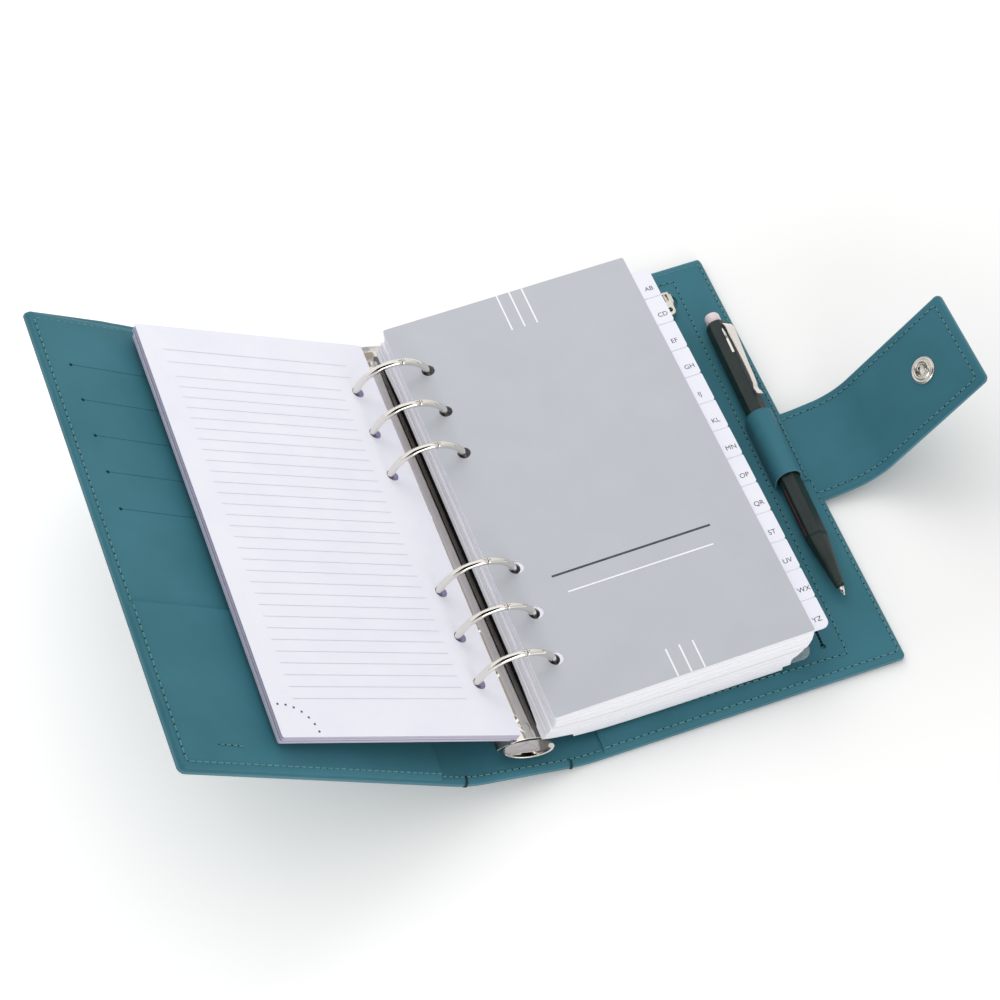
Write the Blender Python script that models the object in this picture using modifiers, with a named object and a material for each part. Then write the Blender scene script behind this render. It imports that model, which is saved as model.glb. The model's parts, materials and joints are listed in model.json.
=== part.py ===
# Open six-ring personal organizer: leather covers, ring mechanism, page blocks, strap and pen.
# Metres, +Z up. X runs across the open covers, Y along the spine, origin under the back cover.
import bmesh
import bpy
from math import asin, atan2, cos, hypot, pi, radians, sin

# Covers and spine
BACK_WIDTH = 0.1203
FRONT_WIDTH = 0.1178
COVER_HEIGHT = 0.1835
SPINE_WIDTH = 0.0425
CORNER_RADIUS = 0.0024
SMALL_CORNER = 0.0008
SPINE_TILT = radians(16.5)
FRONT_TILT = radians(21.6)

# Layers of a cover, from the outside in
LEATHER_THICK = 0.0011
BOARD_THICK = 0.0013
LINING_THICK = 0.0007
PANEL_THICK = 0.0007
LAYER_GAP = 0.0001
BOARD_INSET = 0.0040
LINING_INSET = 0.0012
PANEL_INSET = 0.0026
PANEL_FOLD_INSET = 0.0083
CARD_PANEL_FOLD_INSET = 0.0133
FOLD_CLEARANCE = 0.0003
FOLD_RELIEF = 0.0045

# Card slits and low pocket of the front cover
SLIT_COUNT = 5
SLIT_PITCH = 0.0153
SLIT_TOP = 0.0695
SLIT_WIDTH = 0.0004
SLIT_STOP_RADIUS = 0.0008
SLIT_OUTER_INSET = 0.0103
SLIT_LENGTH = 0.0760
LOW_POCKET_DROP = 0.0300

# Zipped pocket of the back cover
ZIP_INSET = 0.0210
ZIP_TOP = 0.0772
ZIP_LENGTH = 0.1565
ZIP_TURN = radians(1.9)
ZIP_SLIT_WIDTH = 0.0020
ZIP_STOP_RADIUS = 0.0016
ZIP_OPENING_RADIUS = 0.0045
ZIP_TAPE_WIDTH = 0.0110
ZIP_TAPE_THICK = 0.0005
SLIDER_WIDTH = 0.0064
SLIDER_LENGTH = 0.0080
SLIDER_PLATE_THICK = 0.0011
SLIDER_NECK = 0.0011
PULL_WIDTH = 0.0040
PULL_LENGTH = 0.0105
PULL_THICK = 0.0008
PULL_CORNER = 0.0016

# Ring mechanism
RING_RADIUS = 0.0140
RING_WIRE_RADIUS = 0.0013
RING_OFFSET = 0.0024
RING_RISE = 0.0010
RING_PITCH = 0.01905
RING_MIDDLE_GAP = 0.0508
RINGS_PER_GROUP = 3
RING_SEAM_GAP = 0.0003
RING_STEPS = 14
RING_DROP = 0.00025
RING_HOLE_RADIUS = 0.0033
HOUSING_LENGTH = 0.1660
HOUSING_HALF_WIDTH = 0.0105
HOUSING_HEIGHT = 0.0049
HOUSING_WALL = 0.0006
RAIL_END_GAP = 0.0010
RAIL_WIDTH = 0.0056
RAIL_THICK = 0.0010
RAIL_CENTRE_GAP = 0.0005
RAIL_LIFT = 0.0011
RIVET_RADIUS = 0.0024
RIVET_HEAD = 0.0011
RIVET_CROWN_RADIUS = 0.0014
RIVET_SHOULDER = 0.0009
RIVET_RIM = 0.0002
RIVET_SHANK_RADIUS = 0.0013
RIVET_INSET = 0.0045
LEVER_WIDTH = 0.0190
LEVER_LENGTH = 0.0064
LEVER_THICK = 0.0011
LEVER_CORNER = 0.0050
LEVER_TILT = radians(15)
LEVER_LIFT = 0.0024

# Pages
PAGE_HEIGHT = 0.1710
PAGE_WIDTH = 0.0945
PAGE_CORNER = 0.0020
PAGE_GAP = 0.0008
PAGE_RISE = 0.0011
LEFT_EDGE = 0.0030
RIGHT_EDGE = 0.0060
LEFT_DROP = 0.0042
MEMO_SHEET_THICK = 0.0005
MEMO_PAD_THICK = 0.0022
FILLER_THICK = 0.0021
FILLER_SHIFT = 0.0008
DIVIDER_THICK = 0.0006
INDEX_THICK = 0.0090
INDEX_EDGE = 0.0045
DIARY_THICK = 0.0076
WALLET_THICK = 0.0008
WALLET_SHIFT = 0.0018
NOTES_THICK = 0.0020
NOTES_INSET = 0.0235
DIARY_INSET = 0.0105
TAB_COUNT = 13
TAB_REACH = 0.0060
TAB_THICK = 0.0005
TAB_SPACING_GAP = 0.0004
TAB_CORNER = 0.0014
TAB_END_INSET = 0.0073

# Strap and snap
STRAP_WIDTH = 0.0400
STRAP_CENTRE_Y = -0.0034
STRAP_THICK = 0.0024
STRAP_ROOT_LENGTH = 0.0185
STRAP_MID_LENGTH = 0.0275
STRAP_TIP_LENGTH = 0.0294
STRAP_TIP_CORNER = 0.0022
STRAP_TIP_TUCK = 0.0006
STRAP_LIFT = radians(10)
STRAP_BEND = radians(40)
SNAP_ALONG_TIP = 0.0098
SNAP_RADIUS = 0.0050
SNAP_HEIGHT = 0.0016
SNAP_BORE_RADIUS = 0.0027
SNAP_FLANGE = 0.0004
SOCKET_TOP_RADIUS = 0.0042
SOCKET_SHOULDER = 0.0008
STUD_FLANGE_RADIUS = 0.0040
STUD_NECK_RADIUS = 0.0016
STUD_RADIUS = 0.0020
STUD_CROWN_RADIUS = 0.0014
STUD_BULGE = 0.0010
STUD_HEIGHT = 0.0014
CAP_RADIUS = 0.0055
CAP_CROWN_RADIUS = 0.0035
CAP_CROWN = 0.0012
CAP_HEIGHT = 0.0015
STUD_INSET = 0.0062
SEAT_GAP = 0.0001

# Pen and its loop
PEN_RADIUS = 0.0041
PEN_INSET = 0.0104
PEN_TURN = radians(1.5)
PEN_TOP = 0.0586
PEN_BARREL_LENGTH = 0.0985
PEN_NOSE_LENGTH = 0.0213
PEN_NOSE_END_RADIUS = 0.0016
PEN_TIP_LENGTH = 0.0033
PEN_TIP_END_RADIUS = 0.0005
PEN_JOINT_GAP = 0.0003
BUTTON_RADIUS = 0.0029
BUTTON_LENGTH = 0.0120
BUTTON_OUT = 0.0046
BUTTON_CLEARANCE = 0.0003
BUTTON_BORE_DEPTH = 0.0120
CLIP_LENGTH = 0.0350
CLIP_WIDTH = 0.0036
CLIP_THICK = 0.0008
CLIP_LIFT = 0.0007
CLIP_HEAD = 0.0024
CLIP_TURN = radians(25)
LOOP_WALL = 0.0008
LOOP_CLEARANCE = 0.0003
LOOP_LENGTH = 0.0288
LOOP_CENTRE_Y = 0.0005
LOOP_TAIL = 0.0008

# Colours with roughness and metallic value
TEAL = (0.065, 0.205, 0.255, 1), 0.55, 0.0
TEAL_LINING = (0.050, 0.165, 0.210, 1), 0.60, 0.0
BOARD_GREY = (0.30, 0.27, 0.22, 1), 0.90, 0.0
CHROME = (0.72, 0.71, 0.69, 1), 0.18, 1.0
PAPER = (0.83, 0.83, 0.88, 1), 0.85, 0.0
CARD_GREY = (0.47, 0.50, 0.53, 1), 0.70, 0.0
CLEAR = (0.80, 0.84, 0.86, 1), 0.15, 0.0
PEN_BLACK = (0.014, 0.025, 0.024, 1), 0.35, 0.0
PEN_WHITE = (0.72, 0.62, 0.65, 1), 0.40, 0.0

# Levels and places worked out from the sizes above
HALF_HEIGHT = COVER_HEIGHT / 2
AXIS_Z = LEATHER_THICK / 2
HINGE_X = -BACK_WIDTH / 2
BOARD_BASE = LEATHER_THICK / 2 + LAYER_GAP
LINING_BASE = BOARD_BASE + BOARD_THICK + LAYER_GAP
LINING_TOP = LINING_BASE + LINING_THICK
PANEL_BASE = LINING_TOP + LAYER_GAP
PANEL_TOP = PANEL_BASE + PANEL_THICK
POCKET_BASE = PANEL_TOP + LAYER_GAP
POCKET_TOP = POCKET_BASE + PANEL_THICK
LEATHER_START = LEATHER_THICK / 2 + FOLD_CLEARANCE
RING_X = RING_OFFSET - SPINE_WIDTH / 2
RING_Z = LINING_TOP + RING_RADIUS - RING_DROP
RING_END_Z = LINING_TOP + RING_WIRE_RADIUS + FOLD_CLEARANCE
RING_END_ANGLE = -asin((RING_Z - RING_END_Z) / RING_RADIUS)
RING_LEVEL = AXIS_Z - RING_X * sin(SPINE_TILT) + RING_Z * cos(SPINE_TILT)
PEN_X = BACK_WIDTH - PEN_INSET
PEN_Z = PANEL_TOP + LOOP_CLEARANCE + PEN_RADIUS
STRAP_AXIS_X = BACK_WIDTH + FOLD_CLEARANCE + STRAP_THICK / 2
STRAP_AXIS_Z = PANEL_TOP / 2
RING_PLACES = [
    side * (RING_MIDDLE_GAP / 2 + step * RING_PITCH)
    for side in (1, -1)
    for step in range(RINGS_PER_GROUP)
]

for old in list(bpy.data.objects):
    bpy.data.objects.remove(old, do_unlink=True)

organizer = bpy.data.collections.new("personal_organizer")
cutters = bpy.data.collections.new("cutters")
bpy.context.scene.collection.children.link(organizer)
bpy.context.scene.collection.children.link(cutters)


def frame(name, place, turn=0.0, parent=None, axis="Y"):
    empty = bpy.data.objects.new(name, None)
    empty.empty_display_size = 0.01
    empty.location = place
    empty.rotation_euler["XYZ".index(axis)] = turn
    empty.parent = parent
    organizer.objects.link(empty)
    return empty


def dress(obj, look):
    colour, roughness, metallic = look
    material = bpy.data.materials.new(obj.name + "_material")
    material.use_nodes = True
    shader = material.node_tree.nodes["Principled BSDF"]
    shader.inputs["Base Color"].default_value = colour
    shader.inputs["Roughness"].default_value = roughness
    shader.inputs["Metallic"].default_value = metallic
    material.diffuse_color = colour
    obj.data.materials.clear()
    obj.data.materials.append(material)


def place(obj, parent, look, smooth=False):
    for owner in list(obj.users_collection):
        owner.objects.unlink(obj)
    organizer.objects.link(obj)
    obj.parent = parent
    dress(obj, look)
    if smooth:
        obj.data.shade_smooth()
        obj.data.set_sharp_from_angle(angle=radians(35))
    return obj


def keep_as_cutter(obj, parent):
    for owner in list(obj.users_collection):
        owner.objects.unlink(obj)
    cutters.objects.link(obj)
    obj.parent = parent
    obj.hide_render = True
    obj.display_type = "WIRE"
    return obj


def boolean(obj, other, operation="DIFFERENCE"):
    step = obj.modifiers.new(operation.lower() + "_" + other.name, "BOOLEAN")
    step.object = other
    step.operation = operation
    step.solver = "EXACT"


def mesh_from_curve(curve_object):
    # A curve becomes a mesh with its loose caps welded
    bpy.context.scene.collection.objects.link(curve_object)
    bpy.context.view_layer.update()
    seen = curve_object.evaluated_get(bpy.context.evaluated_depsgraph_get())
    mesh = bpy.data.meshes.new_from_object(seen)
    work = bmesh.new()
    work.from_mesh(mesh)
    bmesh.ops.remove_doubles(work, verts=work.verts, dist=0.000001)
    bmesh.ops.recalc_face_normals(work, faces=work.faces)
    work.to_mesh(mesh)
    work.free()
    solid = bpy.data.objects.new(curve_object.name, mesh)
    solid.matrix_world = curve_object.matrix_world
    data = curve_object.data
    bpy.data.objects.remove(curve_object)
    bpy.data.curves.remove(data)
    solid.name = mesh.name = data_name(solid.name)
    return solid


def data_name(name):
    return name.split(".")[0]


def add_spline(curve, points, closed=True):
    spline = curve.splines.new("POLY")
    spline.points.add(len(points) - 1)
    for point, (x, y) in zip(spline.points, points):
        point.co = (x, y, 0, 1)
    spline.use_cyclic_u = closed


def extruded(name, outlines, low, high, along="Z"):
    # Flat outline with any holes, from level low to high along Z, or from low to high along Y
    curve = bpy.data.curves.new(name, "CURVE")
    curve.dimensions = "2D"
    curve.fill_mode = "BOTH"
    curve.extrude = (high - low) / 2
    for points in outlines:
        add_spline(curve, points)
    shape = bpy.data.objects.new(name, curve)
    middle = (low + high) / 2
    if along == "Y":
        shape.rotation_euler.x = pi / 2
        shape.location.y = middle
    else:
        shape.location.z = middle
    return mesh_from_curve(shape)


def arc(centre_x, centre_y, radius, start, end, steps):
    return [
        (
            centre_x + radius * cos(start + (end - start) * i / steps),
            centre_y + radius * sin(start + (end - start) * i / steps),
        )
        for i in range(steps + 1)
    ]


def rounded_box(x0, x1, y0, y1, left=0.0, right=0.0):
    # Outline with its left and right corners rounded by their own radius
    points = []
    corners = (
        (x1, y1, right, 0),
        (x0, y1, left, 1),
        (x0, y0, left, 2),
        (x1, y0, right, 3),
    )
    for x, y, radius, quarter in corners:
        if radius == 0:
            points.append((x, y))
            continue
        sign_x = 1 if quarter in (0, 3) else -1
        sign_y = 1 if quarter in (0, 1) else -1
        turn = quarter * pi / 2
        points += arc(x - sign_x * radius, y - sign_y * radius, radius, turn, turn + pi / 2, 4)
    return points


def keyhole(x, y0, y1, half_width, low_radius, high_radius):
    # Slit along Y with a round hole at each end that has a radius larger than the slit
    points = []
    for y, radius, turn in ((y1, high_radius, 0), (y0, low_radius, pi)):
        if radius > half_width:
            mouth = asin(half_width / radius)
            points += arc(x, y, radius, turn - pi / 2 + mouth, turn + 3 * pi / 2 - mouth, 10)
        else:
            points += [(x + half_width * cos(turn), y), (x - half_width * cos(turn), y)]
    return points


def swapped(points):
    return [(y, x) for x, y in points]


def turned(name, profile, steps=20, closed=False):
    # Profile of (radius, height) points from top to bottom on the outer side, turned about Z
    mesh = bpy.data.meshes.new(name)
    edges = [(i, i + 1) for i in range(len(profile) - 1)]
    if closed:
        edges.append((len(profile) - 1, 0))
    mesh.from_pydata([(radius, 0, height) for radius, height in profile], edges, [])
    obj = bpy.data.objects.new(name, mesh)
    screw = obj.modifiers.new("turn", "SCREW")
    screw.steps = steps
    screw.render_steps = steps
    screw.use_merge_vertices = True
    screw.merge_threshold = 0.000001
    return obj


def wire(name, points, radius):
    curve = bpy.data.curves.new(name, "CURVE")
    curve.dimensions = "3D"
    curve.bevel_depth = radius
    curve.bevel_resolution = 2
    curve.use_fill_caps = True
    spline = curve.splines.new("POLY")
    spline.points.add(len(points) - 1)
    for point, (x, y, z) in zip(spline.points, points):
        point.co = (x, y, z, 1)
    return mesh_from_curve(bpy.data.objects.new(name, curve))


# Frames on the joint axes
back = frame("back_cover", (HINGE_X, 0, AXIS_Z))
spine = frame("spine_axis", (0, 0, 0), SPINE_TILT, back)
front = frame("front_axis", (-SPINE_WIDTH, 0, 0), FRONT_TILT, spine)
rings = frame("ring_centre", (RING_X, RING_RISE, RING_Z), 0, spine)
right_pages = frame("right_pages_axis", (0, PAGE_RISE, 0), -SPINE_TILT, rings)


# Outer leather, boards and linings
def cover_layers(prefix, parent, side, width):
    # side is 1 for the back cover, which runs to +X from its fold, and -1 for the front cover
    def span(inset_fold, inset_edge):
        ends = (side * inset_fold, side * (width - inset_edge))
        return min(ends), max(ends)

    def plate(name, inset_fold, inset_edge, base, thick, look, holes=()):
        x0, x1 = span(inset_fold, inset_edge)
        reach = HALF_HEIGHT - inset_edge
        radius = max(CORNER_RADIUS - inset_edge, SMALL_CORNER)
        left, right = (0.0, radius) if side > 0 else (radius, 0.0)
        outline = rounded_box(x0, x1, -reach, reach, left, right)
        solid = extruded(name, [outline, *holes], base, base + thick)
        return place(solid, parent, look)

    plate(prefix + "_leather", LEATHER_START, 0.0, -LEATHER_THICK / 2, LEATHER_THICK, TEAL)
    plate(prefix + "_board", FOLD_RELIEF, BOARD_INSET, BOARD_BASE, BOARD_THICK, BOARD_GREY)
    return plate


front_plate = cover_layers("front", front, -1, FRONT_WIDTH)
back_plate = cover_layers("back", back, 1, BACK_WIDTH)
front_plate("front_lining", FOLD_RELIEF, LINING_INSET, LINING_BASE, LINING_THICK, TEAL_LINING)

zip_x = BACK_WIDTH - ZIP_INSET


def along_zip(outline):
    # The pocket is sewn in at a slight turn; outlines start from the zip's upper end
    return [
        (
            zip_x + across * cos(ZIP_TURN) + along * sin(ZIP_TURN),
            ZIP_TOP - across * sin(ZIP_TURN) + along * cos(ZIP_TURN),
        )
        for across, along in outline
    ]


tape_margin = ZIP_OPENING_RADIUS + LAYER_GAP
window_half = ZIP_TAPE_WIDTH / 2 + FOLD_CLEARANCE
window_margin = tape_margin + FOLD_CLEARANCE
tape_window = rounded_box(-window_half, window_half, -ZIP_LENGTH - window_margin, window_margin)
back_plate(
    "back_lining",
    FOLD_RELIEF,
    LINING_INSET,
    LINING_BASE,
    LINING_THICK,
    TEAL_LINING,
    [along_zip(tape_window)],
)
tape_outline = rounded_box(
    -ZIP_TAPE_WIDTH / 2, ZIP_TAPE_WIDTH / 2, -ZIP_LENGTH - tape_margin, tape_margin
)
zip_tape = extruded(
    "zip_tape", [along_zip(tape_outline)], LINING_BASE, LINING_BASE + ZIP_TAPE_THICK
)
place(zip_tape, back, BOARD_GREY)

# Spine leather with round edges on both fold axes
edge_radius = LEATHER_THICK / 2
spine_section = arc(0, 0, edge_radius, -pi / 2, pi / 2, 6)
spine_section += arc(-SPINE_WIDTH, 0, edge_radius, pi / 2, 3 * pi / 2, 6)
spine_leather = extruded("spine_leather", [spine_section], -HALF_HEIGHT, HALF_HEIGHT, "Y")
place(spine_leather, spine, TEAL, True)
for name, inset, base, thick, look in (
    ("spine_board", BOARD_INSET, BOARD_BASE, BOARD_THICK, BOARD_GREY),
    ("spine_lining", LINING_INSET, LINING_BASE, LINING_THICK, TEAL_LINING),
):
    reach = HALF_HEIGHT - inset
    outline = rounded_box(FOLD_RELIEF - SPINE_WIDTH, -FOLD_RELIEF, -reach, reach)
    place(extruded(name, [outline], base, base + thick), spine, look)

# Card panel with slits, low pocket and snap stud of the front cover
card_slits = []
for index in range(SLIT_COUNT):
    start = SLIT_OUTER_INSET - FRONT_WIDTH
    slit = keyhole(
        SLIT_TOP - index * SLIT_PITCH,
        start,
        start + SLIT_LENGTH,
        SLIT_WIDTH / 2,
        SLIT_STOP_RADIUS,
        SLIT_STOP_RADIUS,
    )
    card_slits.append(swapped(slit))
front_plate(
    "front_card_panel",
    CARD_PANEL_FOLD_INSET,
    PANEL_INSET,
    PANEL_BASE,
    PANEL_THICK,
    TEAL,
    card_slits,
)
pocket_outline = rounded_box(
    PANEL_INSET - FRONT_WIDTH,
    -CARD_PANEL_FOLD_INSET,
    PANEL_INSET - HALF_HEIGHT,
    -LOW_POCKET_DROP,
)
low_pocket = extruded("front_low_pocket", [pocket_outline], POCKET_BASE, POCKET_TOP)
place(low_pocket, front, TEAL)

stud_base = -LEATHER_THICK / 2 - SEAT_GAP
flange_level = stud_base - SNAP_FLANGE
stud_profile = [
    (0, stud_base),
    (STUD_FLANGE_RADIUS, stud_base),
    (STUD_FLANGE_RADIUS, flange_level),
    (STUD_NECK_RADIUS, flange_level),
    (STUD_RADIUS, flange_level - STUD_BULGE),
    (STUD_CROWN_RADIUS, flange_level - STUD_HEIGHT),
    (0, flange_level - STUD_HEIGHT),
]
snap_stud = turned("snap_stud", stud_profile)
snap_stud.location = (STUD_INSET - FRONT_WIDTH, STRAP_CENTRE_Y, 0)
place(snap_stud, front, CHROME, True)

# Zipped panel, slider and pull of the back cover
zip_slit = keyhole(
    0, -ZIP_LENGTH, 0, ZIP_SLIT_WIDTH / 2, ZIP_STOP_RADIUS, ZIP_OPENING_RADIUS
)
back_plate(
    "back_zip_panel",
    PANEL_FOLD_INSET,
    PANEL_INSET,
    PANEL_BASE,
    PANEL_THICK,
    TEAL,
    [along_zip(zip_slit)],
)
slider_frame = frame("zip_slide", (zip_x, ZIP_TOP, 0), -ZIP_TURN, back, "Z")
plate_low = PANEL_TOP + FOLD_CLEARANCE
plate_high = plate_low + SLIDER_PLATE_THICK
neck_low = LINING_BASE + ZIP_TAPE_THICK + FOLD_CLEARANCE
slider_section = [
    (SLIDER_WIDTH / 2, plate_low),
    (SLIDER_WIDTH / 2, plate_high),
    (-SLIDER_WIDTH / 2, plate_high),
    (-SLIDER_WIDTH / 2, plate_low),
    (-SLIDER_NECK / 2, plate_low),
    (-SLIDER_NECK / 2, neck_low),
    (SLIDER_NECK / 2, neck_low),
    (SLIDER_NECK / 2, plate_low),
]
zip_slider = extruded(
    "zip_slider", [slider_section], -SLIDER_LENGTH / 2, SLIDER_LENGTH / 2, "Y"
)
place(zip_slider, slider_frame, CHROME)
pull_base = plate_high + FOLD_CLEARANCE
pull_axis_y = SLIDER_LENGTH / 2 - PULL_THICK
pull_frame = frame("zip_pull_axis", (0, pull_axis_y, pull_base + PULL_THICK / 2), 0, slider_frame)
pull_outline = rounded_box(
    -PULL_LENGTH, PULL_THICK / 2, -PULL_WIDTH / 2, PULL_WIDTH / 2, PULL_CORNER, 0.0
)
zip_pull = extruded("zip_pull", [swapped(pull_outline)], -PULL_THICK / 2, PULL_THICK / 2)
place(zip_pull, pull_frame, CHROME)

# Pen loop: an arch over the pen with a sewn tail towards the fore edge
pen = frame("pen_axis", (PEN_X, 0, PEN_Z), -PEN_TURN, back, "Z")
loop_inner = PEN_RADIUS + LOOP_CLEARANCE
loop_outer = loop_inner + LOOP_WALL
loop_foot = PANEL_TOP + SEAT_GAP - PEN_Z
tail_top = loop_foot + LOOP_WALL
tail_end = loop_outer + LOOP_TAIL
loop_outline = [(tail_end, loop_foot), (tail_end, tail_top), (loop_outer, tail_top)]
loop_outline += arc(0, 0, loop_outer, 0, pi, 14)
loop_outline += [(-loop_outer, loop_foot), (-loop_inner, loop_foot)]
loop_outline += arc(0, 0, loop_inner, pi, 0, 14)
loop_outline += [(loop_inner, loop_foot)]
pen_loop = extruded(
    "pen_loop",
    [loop_outline],
    LOOP_CENTRE_Y - LOOP_LENGTH / 2,
    LOOP_CENTRE_Y + LOOP_LENGTH / 2,
    "Y",
)
place(pen_loop, pen, TEAL, True)

# Pen: six-sided barrel, nose, tip, clip and push button
barrel_low = PEN_TOP - PEN_BARREL_LENGTH
nose_low = barrel_low - PEN_JOINT_GAP - PEN_NOSE_LENGTH
tip_low = nose_low - PEN_JOINT_GAP - PEN_TIP_LENGTH


def along_y(name, radius_low, radius_high, y0, y1, sides):
    bpy.ops.mesh.primitive_cone_add(
        vertices=sides,
        radius1=radius_low,
        radius2=radius_high,
        depth=y1 - y0,
        location=(0, 0, 0),
    )
    obj = bpy.context.active_object
    obj.name = name
    obj.rotation_euler.x = -pi / 2
    obj.location = (0, (y0 + y1) / 2, 0)
    return obj


pen_barrel = along_y("pen_barrel", PEN_RADIUS, PEN_RADIUS, barrel_low, PEN_TOP, 6)
place(pen_barrel, pen, PEN_BLACK)
bore = along_y(
    "button_bore",
    BUTTON_RADIUS + BUTTON_CLEARANCE,
    BUTTON_RADIUS + BUTTON_CLEARANCE,
    PEN_TOP - BUTTON_BORE_DEPTH,
    PEN_TOP + BUTTON_CLEARANCE,
    20,
)
keep_as_cutter(bore, pen)
boolean(pen_barrel, bore)
nose = along_y(
    "pen_nose",
    PEN_NOSE_END_RADIUS,
    PEN_RADIUS,
    nose_low,
    nose_low + PEN_NOSE_LENGTH,
    20,
)
place(nose, pen, PEN_BLACK, True)
tip = along_y("pen_tip", PEN_TIP_END_RADIUS, PEN_NOSE_END_RADIUS, tip_low, tip_low + PEN_TIP_LENGTH, 14)
place(tip, pen, CHROME, True)
button_frame = frame("pen_button_axis", (0, PEN_TOP, 0), 0, pen)
button = along_y(
    "pen_button", BUTTON_RADIUS, BUTTON_RADIUS, BUTTON_OUT - BUTTON_LENGTH, BUTTON_OUT, 20
)
place(button, button_frame, PEN_WHITE, True)
clip_frame = frame("clip_side", (0, 0, 0), CLIP_TURN, pen)
clip_base = PEN_RADIUS + SEAT_GAP
clip_outline = [
    (PEN_TOP, clip_base),
    (PEN_TOP, clip_base + CLIP_LIFT + CLIP_THICK),
    (PEN_TOP - CLIP_LENGTH, clip_base + CLIP_LIFT + CLIP_THICK),
    (PEN_TOP - CLIP_LENGTH, clip_base),
    (PEN_TOP - CLIP_LENGTH + CLIP_THICK, clip_base),
    (PEN_TOP - CLIP_LENGTH + CLIP_THICK, clip_base + CLIP_LIFT),
    (PEN_TOP - CLIP_HEAD, clip_base + CLIP_LIFT),
    (PEN_TOP - CLIP_HEAD, clip_base),
]
pen_clip = extruded("pen_clip", [clip_outline], -CLIP_WIDTH / 2, CLIP_WIDTH / 2)
pen_clip.rotation_euler = (pi / 2, 0, pi / 2)
pen_clip.location = (0, 0, 0)
place(pen_clip, clip_frame, CHROME)

# Strap in three hinged lengths, with a snap socket and its cap on the tip
strap_start_place = (STRAP_AXIS_X, STRAP_CENTRE_Y, STRAP_AXIS_Z)
strap_root = frame("strap_root_axis", strap_start_place, -STRAP_LIFT, back)
strap_mid = frame("strap_mid_axis", (STRAP_ROOT_LENGTH, 0, 0), -STRAP_BEND, strap_root)
strap_tip = frame("strap_tip_axis", (STRAP_MID_LENGTH, 0, 0), 0, strap_mid)
strap_half = STRAP_THICK / 2
strap_start = strap_half + FOLD_CLEARANCE
for name, parent, length, look in (
    ("strap_root", strap_root, STRAP_ROOT_LENGTH, TEAL),
    ("strap_mid", strap_mid, STRAP_MID_LENGTH, TEAL),
):
    section = arc(0, 0, strap_half, pi / 2, 3 * pi / 2, 6)
    section += [(length - strap_start, -strap_half), (length - strap_start, strap_half)]
    solid = extruded(name, [section], -STRAP_WIDTH / 2, STRAP_WIDTH / 2, "Y")
    place(solid, parent, look, True)
tip_outline = rounded_box(
    -STRAP_TIP_TUCK, STRAP_TIP_LENGTH, -STRAP_WIDTH / 2, STRAP_WIDTH / 2, 0.0, STRAP_TIP_CORNER
)
tip_leather = extruded("strap_tip", [tip_outline], -strap_half, strap_half)
place(tip_leather, strap_tip, TEAL)
socket_low = strap_half + SEAT_GAP
socket_profile = [
    (SNAP_BORE_RADIUS, socket_low + SNAP_HEIGHT),
    (SOCKET_TOP_RADIUS, socket_low + SNAP_HEIGHT),
    (SNAP_RADIUS, socket_low + SOCKET_SHOULDER),
    (SNAP_RADIUS, socket_low),
    (SNAP_BORE_RADIUS, socket_low),
]
snap_socket = turned("snap_socket", socket_profile, 24, True)
snap_socket.location = (SNAP_ALONG_TIP, 0, 0)
place(snap_socket, strap_tip, CHROME, True)
cap_profile = [
    (0, -socket_low),
    (CAP_RADIUS, -socket_low),
    (CAP_RADIUS, -socket_low - SNAP_FLANGE),
    (CAP_CROWN_RADIUS, -socket_low - CAP_CROWN),
    (0, -socket_low - CAP_HEIGHT),
]
snap_cap = turned("snap_cap", cap_profile, 24)
snap_cap.location = (SNAP_ALONG_TIP, 0, 0)
place(snap_cap, strap_tip, CHROME, True)

# Torus-shaped holes that the rings pass through, one for each ring
ring_holes = []
for number, y in enumerate(RING_PLACES, 1):
    bpy.ops.mesh.primitive_torus_add(
        major_radius=RING_RADIUS,
        minor_radius=RING_HOLE_RADIUS,
        major_segments=28,
        minor_segments=10,
        location=(0, 0, 0),
    )
    hole = bpy.context.active_object
    hole.name = f"ring_hole_{number}"
    hole.rotation_euler.x = pi / 2
    hole.location.y = y
    ring_holes.append(keep_as_cutter(hole, rings))

# Ring housing: an arched strip with notches for the rings and a hole for each rivet
housing_base = LINING_TOP + LAYER_GAP - RING_Z
arch_radius = (HOUSING_HALF_WIDTH**2 + HOUSING_HEIGHT**2) / (2 * HOUSING_HEIGHT)
arch_centre = housing_base + HOUSING_HEIGHT - arch_radius
arch_half = asin(HOUSING_HALF_WIDTH / arch_radius)
inner_radius = arch_radius - HOUSING_WALL
inner_half = pi / 2 - asin((housing_base - arch_centre) / inner_radius)
arch_section = arc(0, arch_centre, arch_radius, pi / 2 - arch_half, pi / 2 + arch_half, 14)
arch_section += arc(0, arch_centre, inner_radius, pi / 2 + inner_half, pi / 2 - inner_half, 14)
housing = extruded(
    "ring_housing", [arch_section], -HOUSING_LENGTH / 2, HOUSING_LENGTH / 2, "Y"
)
place(housing, rings, CHROME, True)
for hole in ring_holes:
    boolean(housing, hole)
housing_top = housing_base + HOUSING_HEIGHT
rivet_y = HOUSING_LENGTH / 2 - RIVET_INSET
shank_low = LINING_TOP + SEAT_GAP - RING_Z
head_base = housing_top + SEAT_GAP
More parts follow.
